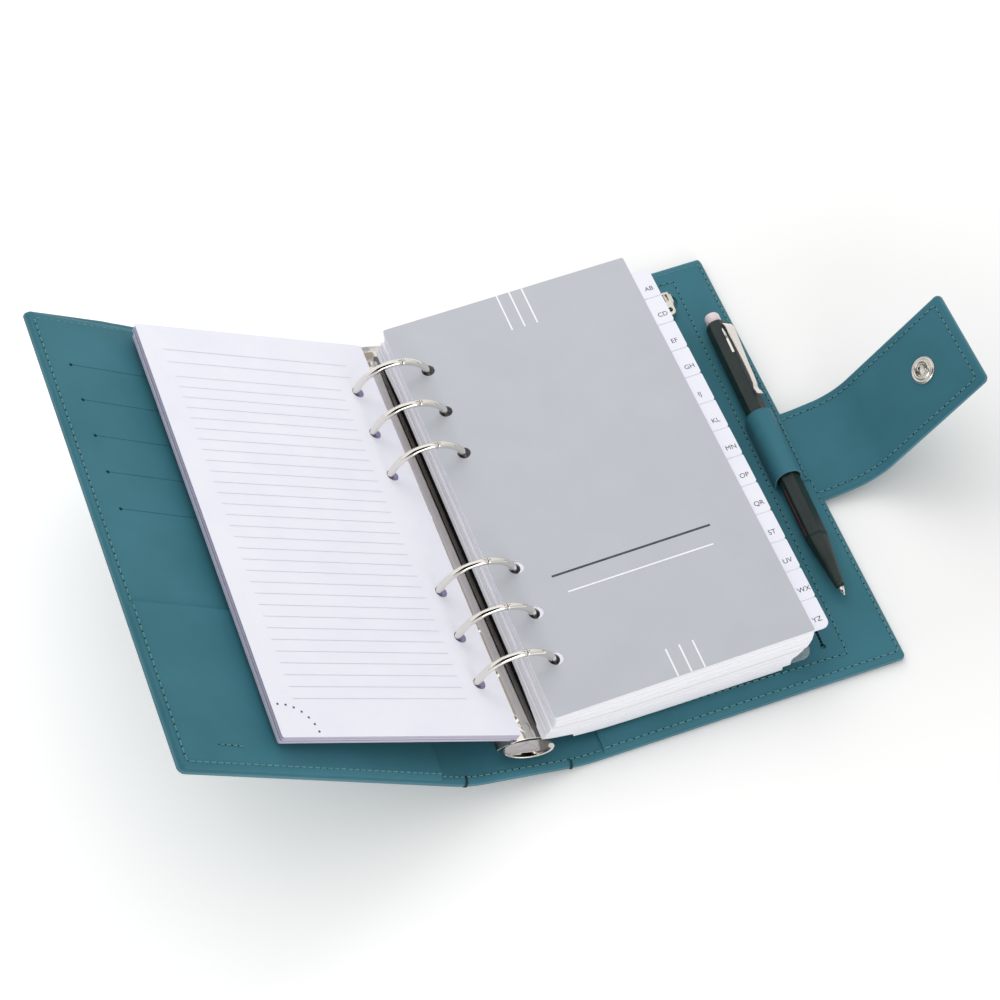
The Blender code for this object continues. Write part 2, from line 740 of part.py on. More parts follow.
for label, side in (("top", 1), ("bottom", -1)):
    bpy.ops.mesh.primitive_cylinder_add(
        vertices=16,
        radius=RIVET_SHANK_RADIUS + FOLD_CLEARANCE,
        depth=HOUSING_HEIGHT,
        location=(0, 0, 0),
    )
    drill = bpy.context.active_object
    drill.name = "rivet_hole_" + label
    drill.location = (0, side * rivet_y, housing_top)
    boolean(housing, keep_as_cutter(drill, rings))
    rivet_profile = [
        (0, head_base + RIVET_HEAD),
        (RIVET_CROWN_RADIUS, head_base + RIVET_SHOULDER),
        (RIVET_RADIUS, head_base + RIVET_RIM),
        (RIVET_RADIUS, head_base),
        (RIVET_SHANK_RADIUS, head_base),
        (RIVET_SHANK_RADIUS, shank_low),
        (0, shank_low),
    ]
    rivet = turned("housing_rivet_" + label, rivet_profile, 16)
    rivet.location.y = side * rivet_y
    place(rivet, rings, CHROME, True)

# Rails with their half rings, each turning on its rail's outer edge
rail_base = LINING_TOP + RAIL_LIFT - RING_Z
rail_pivot = RAIL_CENTRE_GAP / 2 + RAIL_WIDTH
rail_end = rivet_y - RIVET_SHANK_RADIUS - RAIL_END_GAP
rail_middle = rail_base + RAIL_THICK / 2
seam_angle = RING_SEAM_GAP / 2 / RING_RADIUS
for label, side in (("left", -1), ("right", 1)):
    axis = frame(label + "_ring_axis", (side * rail_pivot, 0, rail_middle), 0, rings)
    ends = sorted((0, -side * RAIL_WIDTH))
    rail_outline = rounded_box(*ends, -rail_end, rail_end)
    rail = extruded(label + "_rail", [rail_outline], -RAIL_THICK / 2, RAIL_THICK / 2)
    place(rail, axis, CHROME)
    half_turn = arc(0, 0, RING_RADIUS, pi / 2 - seam_angle, RING_END_ANGLE, RING_STEPS)
    for number, y in enumerate(sorted(RING_PLACES, reverse=True), 1):
        bend = [(side * (x - rail_pivot), y, z - rail_middle) for x, z in half_turn]
        half_ring = wire(f"{label}_ring_{number}", bend, RING_WIRE_RADIUS)
        place(half_ring, axis, CHROME, True)

# Levers at both ends of the mechanism
lever_y = HOUSING_LENGTH / 2 + FOLD_CLEARANCE + LEVER_THICK / 2
for label, side in (("top", 1), ("bottom", -1)):
    lever_place = (0, side * lever_y, LINING_TOP + LEVER_LIFT - RING_Z)
    axis = frame("lever_axis_" + label, lever_place, side * LEVER_TILT, rings, "X")
    tongue = rounded_box(
        0, LEVER_LENGTH, -LEVER_WIDTH / 2, LEVER_WIDTH / 2, 0.0, LEVER_CORNER
    )
    outline = [(across, side * out) for out, across in tongue]
    lever = extruded("lever_" + label, [outline], -LEVER_THICK / 2, LEVER_THICK / 2)
    place(lever, axis, CHROME)


# Page blocks, cut by the ring holes
def page_block(name, parent, ends, base, thick, look, left=0.0, right=0.0):
    outline = rounded_box(*sorted(ends), -PAGE_HEIGHT / 2, PAGE_HEIGHT / 2, left, right)
    block = extruded(name, [outline], base, base + thick)
    place(block, parent, look)
    return block


def cut_ring_holes(block):
    for hole in ring_holes:
        boolean(block, hole)


left_far = LEFT_EDGE + PAGE_WIDTH
left_layers = (
    ("memo_sheet", MEMO_SHEET_THICK, 0.0),
    ("memo_pad", MEMO_PAD_THICK, 0.0),
    ("filler_pad", FILLER_THICK, FILLER_SHIFT),
)
left_under = LEFT_DROP + sum(layer[1] + LAYER_GAP for layer in left_layers)
ring_over_front = (SPINE_WIDTH + RING_X) * sin(FRONT_TILT) + RING_Z * cos(FRONT_TILT)
reach = left_far + FILLER_SHIFT
lean = atan2(left_under, reach)
lean += asin((POCKET_TOP + PAGE_GAP - ring_over_front) / hypot(reach, left_under))
left_pages = frame("left_pages_axis", (0, PAGE_RISE, 0), FRONT_TILT + lean, rings)
level = -LEFT_DROP
for name, thick, shift in left_layers:
    level -= thick
    ends = (-LEFT_EDGE - shift, -left_far - shift)
    cut_ring_holes(page_block(name, left_pages, ends, level, thick, PAPER, PAGE_CORNER, 0.0))
    level -= LAYER_GAP

right_far = RIGHT_EDGE + PAGE_WIDTH
housing_foot = HOUSING_HALF_WIDTH * cos(SPINE_TILT) + housing_base * sin(SPINE_TILT)
lining_end = -(FOLD_RELIEF + RING_X) * cos(SPINE_TILT) + (LINING_TOP - RING_Z) * sin(SPINE_TILT)
stack_base = AXIS_Z + PANEL_TOP + PAGE_GAP - RING_LEVEL
right_layers = (
    ("notes_block", NOTES_THICK, lining_end, right_far - NOTES_INSET, PAPER),
    ("diary_block", DIARY_THICK, housing_foot + PAGE_GAP, right_far - DIARY_INSET, PAPER),
    ("plastic_wallet", WALLET_THICK, RIGHT_EDGE, right_far + WALLET_SHIFT, CLEAR),
    ("index_cards", INDEX_THICK, INDEX_EDGE, right_far, PAPER),
    ("divider_card", DIVIDER_THICK, RIGHT_EDGE, right_far, CARD_GREY),
)
level = stack_base
for name, thick, near, far, look in right_layers:
    block = page_block(name, right_pages, (near, far), level, thick, look, 0.0, PAGE_CORNER)
    if name == "index_cards":
        tab_start = PAGE_HEIGHT / 2 - TAB_END_INSET
        tab_pitch = 2 * tab_start / TAB_COUNT
        for index in range(TAB_COUNT):
            tab_high = tab_start - index * tab_pitch - TAB_SPACING_GAP / 2
            tab_low = tab_high - tab_pitch + TAB_SPACING_GAP
            outline = rounded_box(
                far - TAB_REACH, far + TAB_REACH, tab_low, tab_high, 0.0, TAB_CORNER
            )
            tab_level = level + thick - (index + 0.5) * thick / TAB_COUNT
            tab_base = tab_level - TAB_THICK / 2
            tab = extruded(f"index_tab_{index + 1}", [outline], tab_base, tab_base + TAB_THICK)
            bpy.context.scene.collection.objects.link(tab)
            boolean(block, keep_as_cutter(tab, right_pages), "UNION")
    cut_ring_holes(block)
    level += thick + LAYER_GAP
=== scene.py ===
# Open six-ring organizer in teal leather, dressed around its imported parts
import json
from math import atan2, cos, exp, hypot, pi, radians, sin, sqrt, tau

import bmesh
import bpy
from mathutils import Matrix, Vector

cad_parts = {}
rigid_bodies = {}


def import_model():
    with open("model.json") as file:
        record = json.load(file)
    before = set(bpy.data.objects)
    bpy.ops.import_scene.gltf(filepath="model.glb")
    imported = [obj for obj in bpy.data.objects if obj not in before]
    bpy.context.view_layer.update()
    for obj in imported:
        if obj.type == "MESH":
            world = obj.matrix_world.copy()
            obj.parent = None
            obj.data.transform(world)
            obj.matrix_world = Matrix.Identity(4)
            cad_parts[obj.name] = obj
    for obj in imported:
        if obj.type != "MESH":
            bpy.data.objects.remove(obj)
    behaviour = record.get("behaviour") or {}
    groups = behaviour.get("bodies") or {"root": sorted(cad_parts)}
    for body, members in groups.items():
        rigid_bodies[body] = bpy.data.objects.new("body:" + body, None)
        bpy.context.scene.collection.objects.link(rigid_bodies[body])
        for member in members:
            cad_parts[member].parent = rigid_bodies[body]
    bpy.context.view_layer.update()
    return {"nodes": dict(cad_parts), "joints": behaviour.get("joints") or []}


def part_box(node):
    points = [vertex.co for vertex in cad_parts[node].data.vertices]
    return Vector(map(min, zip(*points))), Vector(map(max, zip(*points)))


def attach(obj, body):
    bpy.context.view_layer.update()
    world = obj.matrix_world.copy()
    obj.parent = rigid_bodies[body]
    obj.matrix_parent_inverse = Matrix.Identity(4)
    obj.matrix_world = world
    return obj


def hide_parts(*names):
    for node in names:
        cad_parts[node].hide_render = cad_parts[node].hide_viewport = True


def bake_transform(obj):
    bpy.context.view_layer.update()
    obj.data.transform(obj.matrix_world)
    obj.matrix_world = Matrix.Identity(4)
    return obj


for stray in list(bpy.data.objects):
    bpy.data.objects.remove(stray, do_unlink=True)
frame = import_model()
mm = 0.001
axisOf = {j["name"]: Vector(j["pos_m"]) for j in frame["joints"] if "pos_m" in j}


# Places: every piece is drawn in millimetres in the frame of the part it sits on
def leanOf(node):
    widest = max(frame["nodes"][node].data.polygons, key=lambda face: face.area).normal
    up = 1 if widest.z > 0 else -1
    return atan2(up * widest.x, up * widest.z)


def placeAt(point, lean):
    return Matrix.Translation(point) @ Matrix.Rotation(lean, 4, "Y")


spineLean = leanOf("spine_board")
frontLean = leanOf("front_board")
spinePlace = placeAt(axisOf["back_hinge"], spineLean)
frontPlace = placeAt(axisOf["front_hinge"], frontLean)
ringPlace = placeAt(axisOf["right_pages_turn"], spineLean)
pageShift = 1.1
pageRise = Matrix.Translation((0, pageShift * mm, 0))
leftPlace = placeAt(axisOf["left_pages_turn"], leanOf("memo_sheet")) @ pageRise
rightPlace = placeAt(axisOf["right_pages_turn"], 0) @ pageRise
spineWidth = (axisOf["front_hinge"] - axisOf["back_hinge"]).length / mm


# Materials
def linear(hexText):
    channels = [int(hexText[i : i + 2], 16) / 255 for i in (1, 3, 5)]
    return [c / 12.92 if c <= 0.04045 else ((c + 0.055) / 1.055) ** 2.4 for c in channels] + [1]


def addNode(tree, kind, settings=None, links=None):
    node = tree.nodes.new("ShaderNode" + kind)
    for key, value in (settings or {}).items():
        if isinstance(key, str) and hasattr(node, key):
            setattr(node, key, value)
        else:
            node.inputs[key].default_value = value
    for socket, source in (links or {}).items():
        tree.links.new(source, node.inputs[socket])
    return node


def startMaterial(name, values):
    material = bpy.data.materials.new(name)
    material.use_nodes = True
    tree = material.node_tree
    shader = tree.nodes["Principled BSDF"]
    for socket, value in values.items():
        shader.inputs[socket].default_value = value
    coords = addNode(tree, "TexCoord").outputs["Object"]
    return material, tree, shader, coords


def mottled(tree, coords, size, low, high, detail=3.0):
    # two tones of one colour drifting over patches of the given size in millimetres
    cloud = addNode(
        tree,
        "TexNoise",
        {"Scale": 1 / (size * mm), "Detail": detail, "Roughness": 0.55},
        {"Vector": coords},
    )
    ramp = addNode(tree, "ValToRGB", links={"Fac": cloud.outputs["Fac"]})
    ramp.color_ramp.elements[0].position = 0.32
    ramp.color_ramp.elements[1].position = 0.68
    ramp.color_ramp.elements[0].color = linear(low)
    ramp.color_ramp.elements[1].color = linear(high)
    return ramp.outputs["Color"]


def leatherMaterial(name, low, high, grain, depth, rough):
    # drummed hide: soft sheen, fine closed grain and slow drift of dye
    material, tree, shader, coords = startMaterial(
        name, {"Roughness": rough, "Specular IOR Level": 0.2, "Sheen Weight": 0.03}
    )
    tree.links.new(mottled(tree, coords, 34, low, high), shader.inputs["Base Color"])
    cells = addNode(
        tree,
        "TexVoronoi",
        {"feature": "DISTANCE_TO_EDGE", "Scale": 1 / (grain * mm), "Randomness": 0.9},
        {"Vector": coords},
    )
    pores = addNode(
        tree, "TexNoise", {"Scale": 1 / (0.35 * grain * mm), "Detail": 2.0}, {"Vector": coords}
    )
    joined = addNode(
        tree,
        "Math",
        {"operation": "MULTIPLY_ADD", 1: 0.7},
        {0: cells.outputs["Distance"], 2: pores.outputs["Fac"]},
    )
    bump = addNode(
        tree, "Bump", {"Strength": 0.45, "Distance": depth * mm}, {"Height": joined.outputs["Value"]}
    )
    tree.links.new(bump.outputs["Normal"], shader.inputs["Normal"])
    return material


def metalMaterial(name, colour, rough, spread):
    # plated steel: clear mirror with faint hazy patches from handling
    material, tree, shader, coords = startMaterial(name, {"Base Color": linear(colour), "Metallic": 1.0})
    haze = addNode(tree, "TexNoise", {"Scale": 1 / (6 * mm), "Detail": 4.0}, {"Vector": coords})
    rougher = addNode(
        tree, "MapRange", {"To Min": rough, "To Max": rough + spread}, {"Value": haze.outputs["Fac"]}
    )
    tree.links.new(rougher.outputs["Result"], shader.inputs["Roughness"])
    return material


def paperMaterial(name, low, high, fibre):
    # uncoated stock: flat white with short fibres that catch the light a little
    material, tree, shader, coords = startMaterial(name, {"Roughness": 0.85, "Specular IOR Level": 0.2})
    tree.links.new(mottled(tree, coords, 18, low, high), shader.inputs["Base Color"])
    fibres = addNode(
        tree, "TexNoise", {"Scale": 1 / (fibre * mm), "Detail": 5.0, "Roughness": 0.7}, {"Vector": coords}
    )
    bump = addNode(
        tree, "Bump", {"Strength": 0.12, "Distance": 0.03 * mm}, {"Height": fibres.outputs["Fac"]}
    )
    tree.links.new(bump.outputs["Normal"], shader.inputs["Normal"])
    return material


def leafMaterial(name, low, high, leaf):
    # cut edge of a stack: fine lines, one for each few leaves, from the height kept on the mesh
    material, tree, shader, coords = startMaterial(name, {"Roughness": 0.9, "Specular IOR Level": 0.15})
    height = addNode(tree, "Attribute", {"attribute_name": "leafHeight"})
    lines = addNode(
        tree,
        "TexNoise",
        {"noise_dimensions": "1D", "Scale": 1 / leaf, "Detail": 2.0, "Roughness": 0.6},
        {"W": height.outputs["Fac"]},
    )
    ramp = addNode(tree, "ValToRGB", links={"Fac": lines.outputs["Fac"]})
    ramp.color_ramp.elements[0].position = 0.36
    ramp.color_ramp.elements[1].position = 0.60
    ramp.color_ramp.elements[0].color = linear(low)
    ramp.color_ramp.elements[1].color = linear(high)
    tree.links.new(ramp.outputs["Color"], shader.inputs["Base Color"])
    bump = addNode(
        tree, "Bump", {"Strength": 0.1, "Distance": 0.05 * mm}, {"Height": lines.outputs["Fac"]}
    )
    tree.links.new(bump.outputs["Normal"], shader.inputs["Normal"])
    return material


def plainMaterial(name, low, high, size, rough, specular=0.3, extra=None):
    # moulded or printed colour with a slow drift of tone and a little uneven gloss
    values = {"Specular IOR Level": specular, **(extra or {})}
    material, tree, shader, coords = startMaterial(name, values)
    tree.links.new(mottled(tree, coords, size, low, high), shader.inputs["Base Color"])
    gloss = addNode(tree, "TexNoise", {"Scale": 1 / (3 * mm), "Detail": 3.0}, {"Vector": coords})
    uneven = addNode(
        tree, "MapRange", {"To Min": rough - 0.05, "To Max": rough + 0.07}, {"Value": gloss.outputs["Fac"]}
    )
    tree.links.new(uneven.outputs["Result"], shader.inputs["Roughness"])
    return material


tealLeather = leatherMaterial("drummedTealLeather", "#326976", "#397180", 0.9, 0.05, 0.52)
tealPanel = leatherMaterial("splitTealLeather", "#346C78", "#3B7482", 0.7, 0.035, 0.55)
# lighter rim colour: partly the edge paint, partly a painted highlight of the light the rounded rims catch
tealEdgeAndHighlight = leatherMaterial("edgePaintAndHighlight", "#4A7784", "#56838F", 0.5, 0.04, 0.48)
threadTeal = plainMaterial("bondedThread", "#4E7F86", "#628F95", 1.5, 0.5)
threadDark = plainMaterial("waxedThread", "#16343C", "#21454E", 1.5, 0.55)
hollowDark = plainMaterial("shadedHole", "#0A1E24", "#10282F", 2.0, 0.8, 0.1)
tapeDark = plainMaterial("wovenZipTape", "#0B1F26", "#122D35", 1.2, 0.75, 0.15)
nickelBright = metalMaterial("polishedNickel", "#ECE8E1", 0.04, 0.05)
nickelSoft = metalMaterial("tumbledNickel", "#E0DCD3", 0.16, 0.12)
clipSteel = metalMaterial("matteSteel", "#F2ECE6", 0.38, 0.1)
paperWhite = paperMaterial("uncoatedPaper", "#ECECF6", "#F0F0F8", 0.5)
paperLeaf = leafMaterial("cutPaperEdge", "#EDECF4", "#FBFBFE", 0.22)
lilacLeaf = leafMaterial("tintedPaperEdge", "#B9B4C6", "#D2CEDE", 0.2)
yellowLeaf = leafMaterial("yellowPaperEdge", "#E6DDB4", "#F1EBCF", 0.3)
greyCard = paperMaterial("greyBoard", "#BDC0C6", "#C0C3C9", 0.4)
# near-black sheet that stands in for deep shade: painted shade
gapShadeBlack = plainMaterial("paintedGapShade", "#0A0909", "#131111", 2.5, 0.8, 0.1)
rulerInk = plainMaterial("greyPrintingInk", "#C3C4D0", "#CACBD6", 6, 0.8, 0.1)
lilacSheet = plainMaterial("tintedPaper", "#8983A8", "#948EB2", 9, 0.8, 0.1)
whiteInk = plainMaterial("whitePrintingInk", "#F4F4F7", "#FBFBFD", 6, 0.7, 0.2)
darkInk = plainMaterial("darkPrintingInk", "#4A4A55", "#5A5A66", 4, 0.8, 0.1)
penGreen = plainMaterial("satinGreenBlackPlastic", "#1B2725", "#24312E", 9, 0.46, 0.4)
penRed = plainMaterial("redPlastic", "#A8332C", "#BC4038", 5, 0.4, 0.4)
penPink = plainMaterial("paleMouldedPlastic", "#DCCBD0", "#E8DADD", 5, 0.35, 0.5)
clearSheet = plainMaterial("clearVinyl", "#E4E9EE", "#F2F5F8", 14, 0.12, 0.5, {"Alpha": 0.2})
print("materials ready")


# Shapes
def roundedBox(x0, x1, y0, y1, corners, steps=6):
    # corners in the order low-low, high-low, high-high, low-high
    centres = ((x0, y0, 1, 1), (x1, y0, -1, 1), (x1, y1, -1, -1), (x0, y1, 1, -1))
    outline = []
    for turn, ((x, y, across, up), radius) in enumerate(zip(centres, corners)):
        if radius == 0:
            outline.append((x, y))
            continue
        for step in range(steps + 1):
            angle = pi + (turn + step / steps) * pi / 2
            outline.append(
                (x + across * radius + radius * cos(angle), y + up * radius + radius * sin(angle))
            )
    return outline


def circle(x, y, radius, steps=16):
    return [(x + radius * cos(tau * k / steps), y + radius * sin(tau * k / steps)) for k in range(steps)]


def keyhole(low, high, half, lowRadius, highRadius):
    # slit along the second axis with a round end at both ends, drawn counter-clockwise round zero
    outline = []
    for centre, radius, start in ((high, highRadius, 0), (low, lowRadius, pi)):
        side = sqrt(max(radius**2 - half**2, 0))
        first = atan2(-side, half) if start == 0 else atan2(side, -half)
        sweep = tau - 2 * atan2(half, side)
        outline += [
            (radius * cos(first + sweep * k / 14), centre + radius * sin(first + sweep * k / 14))
            for k in range(15)
        ]
    return outline


def meshOf(curve):
    holder = bpy.data.objects.new("shape", curve)
    bpy.context.scene.collection.objects.link(holder)
    graph = bpy.context.evaluated_depsgraph_get()
    mesh = bpy.data.meshes.new_from_object(holder.evaluated_get(graph))
    bpy.data.objects.remove(holder)
    bpy.data.curves.remove(curve)
    return mesh


def slab(outlines, low, high, rounding, steps=3):
    # plate with rounded rims; later outlines are holes
    curve = bpy.data.curves.new("slab", "CURVE")
    curve.dimensions = "2D"
    curve.fill_mode = "BOTH"
    curve.bevel_depth = rounding
    curve.bevel_resolution = steps
    curve.extrude = (high - low) / 2 - rounding
    curve.offset = -rounding
    for number, outline in enumerate(outlines):
        spline = curve.splines.new("POLY")
        spline.points.add(len(outline) - 1)
        spline.use_cyclic_u = True
        for point, (x, y) in zip(spline.points, outline if number == 0 else outline[::-1]):
            point.co = (x, y, 0, 1)
    mesh = meshOf(curve)
    bm = bmesh.new()
    bm.from_mesh(mesh)
    bpy.data.meshes.remove(mesh)
    bmesh.ops.remove_doubles(bm, verts=bm.verts, dist=0.004)
    bmesh.ops.recalc_face_normals(bm, faces=bm.faces)
    for vert in bm.verts:
        vert.co.z += (low + high) / 2
    for face in bm.faces:
        face.smooth = True
    return bm


def cutAcross(bm, places, axis=0, dropBelow=False):
    normal = Vector((axis == 0, axis == 1, axis == 2))
    for place in places:
        bmesh.ops.bisect_plane(
            bm,
            geom=bm.verts[:] + bm.edges[:] + bm.faces[:],
            plane_co=normal * place,
            plane_no=normal,
            clear_inner=dropBelow,
        )


def mirrored(bm):
    for vert in bm.verts:
        vert.co.x *= -1
    bmesh.ops.reverse_faces(bm, faces=bm.faces)
    return bm


def joinInto(bm, other):
    mesh = bpy.data.meshes.new("layer")
    other.to_mesh(mesh)
    other.free()
    bm.from_mesh(mesh)
    bpy.data.meshes.remove(mesh)


def markRims(bm, index, limit=0.6):
    # faces that stand up from the plate take the second material
    for face in bm.faces:
        if abs(face.normal.z) < limit:
            face.material_index = index


def joinRings(bm, a, b, index=0):
    # faces between two rings of points, either of which may be a single point
    sides = max(len(a), len(b))
    for k in range(sides):
        after = (k + 1) % sides
        corners = [a[k % len(a)], a[after % len(a)], b[after % len(b)], b[k % len(b)]]
        face = bm.faces.new(list(dict.fromkeys(corners)))
        face.smooth = True
        face.material_index = index


def sweep(bm, path, radii, sides=8, flat=1.0, index=0, up=None):
    # tube along points, closed at both ends; flat squeezes it across the up direction
    path = [Vector(p) for p in path]
    rings = []
    for number, point in enumerate(path):
        ahead = path[min(number + 1, len(path) - 1)] - path[max(number - 1, 0)]
        ahead.normalize()
        guide = Vector(up) if up else Vector((0, 0, 1))
        if abs(ahead.dot(guide)) > 0.98:
            guide = Vector((0, 1, 0))
        across = ahead.cross(guide).normalized()
        rise = across.cross(ahead)
        radius = radii[number] if isinstance(radii, (list, tuple)) else radii
        rings.append(
            [
                bm.verts.new(
                    point
                    + across * radius * cos(tau * k / sides)
                    + rise * radius * flat * sin(tau * k / sides)
                )
                for k in range(sides)
            ]
        )
    for a, b in zip(rings, rings[1:]):
        joinRings(bm, a, b, index)
    for cap in (rings[0][::-1], rings[-1]):
        bm.faces.new(cap).material_index = index


def turned(bm, profile, centre=(0, 0), sides=32, index=0):
    # profile as (radius, height) round the z axis, closed at both ends when the radius is zero
    rings = []
    for radius, height in profile:
        around = [centre] if radius < 1e-6 else circle(*centre, radius, sides)
        rings.append([bm.verts.new((x, y, height)) for x, y in around])
    for a, b in zip(rings, rings[1:]):
        joinRings(bm, a, b, index)


def strip(bm, x0, x1, y0, y1, z, index=0):
    corners = ((x0, y0), (x1, y0), (x1, y1), (x0, y1))
    bm.faces.new([bm.verts.new((x, y, z)) for x, y in corners]).material_index = index


def disc(bm, spot, radius, steps, z):
    # small round face in the second material
    rim = [bm.verts.new((x, y, z)) for x, y in circle(*spot, radius, steps)]
    bm.faces.new(rim).material_index = 1


def rigid(place):
    return lambda p: place @ (Vector(p) * mm)


def bentRun(first, folds, place):
    # maps (along, across, height) onto a run that leans further at each fold (middle, reach, turn)
    stride, longest = 0.25, 400
    start, startLean = first
    spot = place @ Vector((0, 0, 0))
    table = []
    along = start
    x, z = spot.x / mm, spot.z / mm
    lean = startLean
    while along < start + longest:
        table.append((x, z, lean))
        along += stride
        lean = startLean
        for middle, reach, turn in folds:
            share = min(max((along - middle + reach) / (2 * reach), 0), 1)
            lean += turn * share
        x += cos(lean) * stride
        z -= sin(lean) * stride

    def mapped(p):
        step = min(max((p[0] - start) / stride, 0), len(table) - 2)
        low = int(step)
        share = step - low
        a, b = table[low], table[low + 1]
        here = [u + (v - u) * share for u, v in zip(a, b)]
        return Vector((here[0] + p[2] * sin(here[2]), p[1], here[1] + p[2] * cos(here[2]))) * mm

    return mapped


def addPiece(bm, name, mapping, materials, body, hides=(), blend=None, crisp=False):
    for vert in bm.verts:
        vert.co = mapping(vert.co)
    closed = [face for face in bm.faces if all(edge.is_manifold for edge in face.edges)]
    bmesh.ops.recalc_face_normals(bm, faces=closed)
    if len(closed) == len(bm.faces) and bm.calc_volume(signed=True) < 0:
        bmesh.ops.reverse_faces(bm, faces=closed)
    mesh = bpy.data.meshes.new(name)
    bm.to_mesh(mesh)
    bm.free()
    for material in materials:
        mesh.materials.append(material)
    piece = bpy.data.objects.new(name, mesh)
    bpy.context.scene.collection.objects.link(piece)
    if not crisp:
        piece.modifiers.new("evenShading", "WEIGHTED_NORMAL").weight = 90
    if blend:
        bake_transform(piece)
    else:
        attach(piece, body)
    if hides:
        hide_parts(*hides)
    return piece


def sewRow(bm, path, level, thread):
    # arched stitches and needle holes along a flat path of (along, across) points
    lengths = [0]
    for a, b in zip(path, path[1:]):
        lengths.append(lengths[-1] + hypot(b[0] - a[0], b[1] - a[1]))

    def spotAt(length):
        length = min(max(length, 0), lengths[-1])
        for number in range(len(path) - 1):
            if length <= lengths[number + 1] + 1e-9:
                span = lengths[number + 1] - lengths[number]
                share = (length - lengths[number]) / span
                a, b = path[number], path[number + 1]
                return [u + (v - u) * share for u, v in zip(a, b)]
        return list(path[-1])

    count = max(1, round(lengths[-1] / thread["pitch"]))
    for number in range(count):
        middle = (number + 0.5) * lengths[-1] / count
        points = []
        radii = []
        for share in (-1, -0.7, -0.25, 0.25, 0.7, 1):
            spot = spotAt(middle + share * thread["length"] / 2)
            points.append((*spot, level + thread["rise"] * (1 - share * share) - thread["sink"]))
            radii.append(thread["radius"] * (1 - 0.35 * share**4))
        sweep(bm, points, radii, 6)
        # each needle hole is a flat dark disc: painted shade inside the hole
        spot = spotAt(number * lengths[-1] / count)
        disc(bm, spot, thread["hole"], 8, level + 0.03)


def sewPiece(name, rows, run, body, blend=None):
    # rows of (path, level, thread) in one piece
    bm = bmesh.new()
    for row in rows:
        sewRow(bm, *row)
    addPiece(bm, name, run, sewn, body, (), blend, True)


sewn = [threadTeal, hollowDark]
edgeStitch = {"pitch": 2.7, "length": 2.0, "radius": 0.26, "rise": 0.26, "sink": 0.08, "hole": 0.3}
print("shapes ready")

# Covers: one padded leather slab for each cover with its half of the spine
cover = {
    "low": -0.55, "high": 2.8, "rounding": 1.6, "corner": 2.1,
    "half": (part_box("back_leather")[1].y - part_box("back_leather")[0].y) / 2 / mm,
    "backWidth": (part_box("back_leather")[1].x - axisOf["back_hinge"].x) / mm, "frontWidth": 117.8,
    "foldReach": 6.5, "stitchInset": 2.3, "press": 0.8, "pressReach": 4.5, "headOver": 1.5,
    "tailOver": 0.3, "headInset": 3.5, "foreTaller": 0.8, "bow": 1.9, "bowInset": 0.9,
    "seamSink": 0.19,
}
spineHalf = spineWidth / 2
flatRun = bentRun(
    (-spineHalf, spineLean),
    [(0, cover["foldReach"], -spineLean)],
    spinePlace @ Matrix.Translation((-spineHalf * mm, 0, 0)),
)


def nearHead(y):
    return min(max((y - 80) / 12, 0), 1)


def backRun(p):
    # the back cover stands a little taller towards its fore edge
    taller = cover["foreTaller"] * min(max(p[0] / cover["backWidth"], 0), 1) * nearHead(p[1])
    return flatRun((p[0], p[1] + taller, p[2]))


flatFrontRun = bentRun(
    (-cover["frontWidth"], frontLean),
    [(0, cover["foldReach"], spineLean - frontLean)],
    frontPlace @ Matrix.Translation((-cover["frontWidth"] * mm, 0, 0)),
)


def frontRun(p):
    # the front cover's head bows up between its fore edge and the fold
    bow = min(max((p[0] + cover["frontWidth"]) / 38, 0), max((-15 - p[0]) / 40, 0), 1)
    taller = cover["bow"] * bow * nearHead(p[1])
    return flatFrontRun((p[0], p[1] + taller, p[2]))


backBlend = (backRun((-cover["foldReach"], 0, 0)), backRun((cover["foldReach"], 0, 0)))
frontBlend = (frontRun((-cover["foldReach"], 0, 0)), frontRun((cover["foldReach"], 0, 0)))
head = cover["half"] + cover["headOver"]
tail = -cover["half"] - cover["tailOver"]


def pressed(bm, outer):
    # the three sewn sides are squeezed thinner than the padded middle
    reach = cover["pressReach"]
    cuts = [part * reach for part in (0.2, 0.45, 0.7, 1)]
    cutAcross(bm, [outer - cut for cut in cuts])
    cutAcross(bm, [head - cut for cut in cuts] + [tail + cut for cut in cuts], 1)
    for vert in bm.verts:
        near = max(0, min(outer - vert.co.x, head - vert.co.y, vert.co.y - tail))
        if near < reach and vert.co.z > 1:
            vert.co.z -= cover["press"] * (1 - near / reach) ** 2


def coverSlab(width, side):
    # drawn past the middle of the spine and cut there, so both halves meet flush
    radius = cover["corner"]
    outline = roundedBox(-spineHalf - 4, width, tail, head, (0, radius, radius, 0))
    bm = slab([outline], cover["low"], cover["high"], cover["rounding"], 5)
    cutAcross(bm, [-spineHalf], dropBelow=True)
    markRims(bm, 1)
    pressed(bm, width)
    cutAcross(bm, [k * cover["foldReach"] / 6 for k in range(-6, 7)] + [20, 50, 80])
    return mirrored(bm) if side < 0 else bm


addPiece(
    coverSlab(cover["backWidth"], 1),
    "backCoverLeather",
    backRun,
    [tealLeather, tealEdgeAndHighlight],
    ("spine", "back_cover"),
    ("back_leather", "back_board", "back_lining", "spine_lining"),
    backBlend,
)
addPiece(
    coverSlab(cover["frontWidth"], -1),
    "frontCoverLeather",
    frontRun,
    [tealLeather, tealEdgeAndHighlight],
    ("front_cover", "spine"),
    ("front_leather", "front_board", "front_lining", "spine_leather", "spine_board"),
    frontBlend,
)

# Inner panels with the card slits, low pocket and zip slit
panel = {"low": 2.82, "high": 3.6, "rounding": 0.14, "inset": 0.7, "backFold": 8.3, "frontFold": 13.3}
slits = {"count": 5, "pitch": 15.3, "top": 69.5, "inset": 10.3, "length": 76, "half": 0.05, "hole": 0.65}
zipper = {
    "x": 99.3, "top": 77.2, "length": 156.5, "turn": radians(1.9), "half": 0.42, "stop": 1.0,
    "opening": 4.5, "tooth": 1.3,
}
edgeHigh = head - panel["inset"]
edgeLow = tail + panel["inset"]
rim = cover["corner"] - panel["inset"]


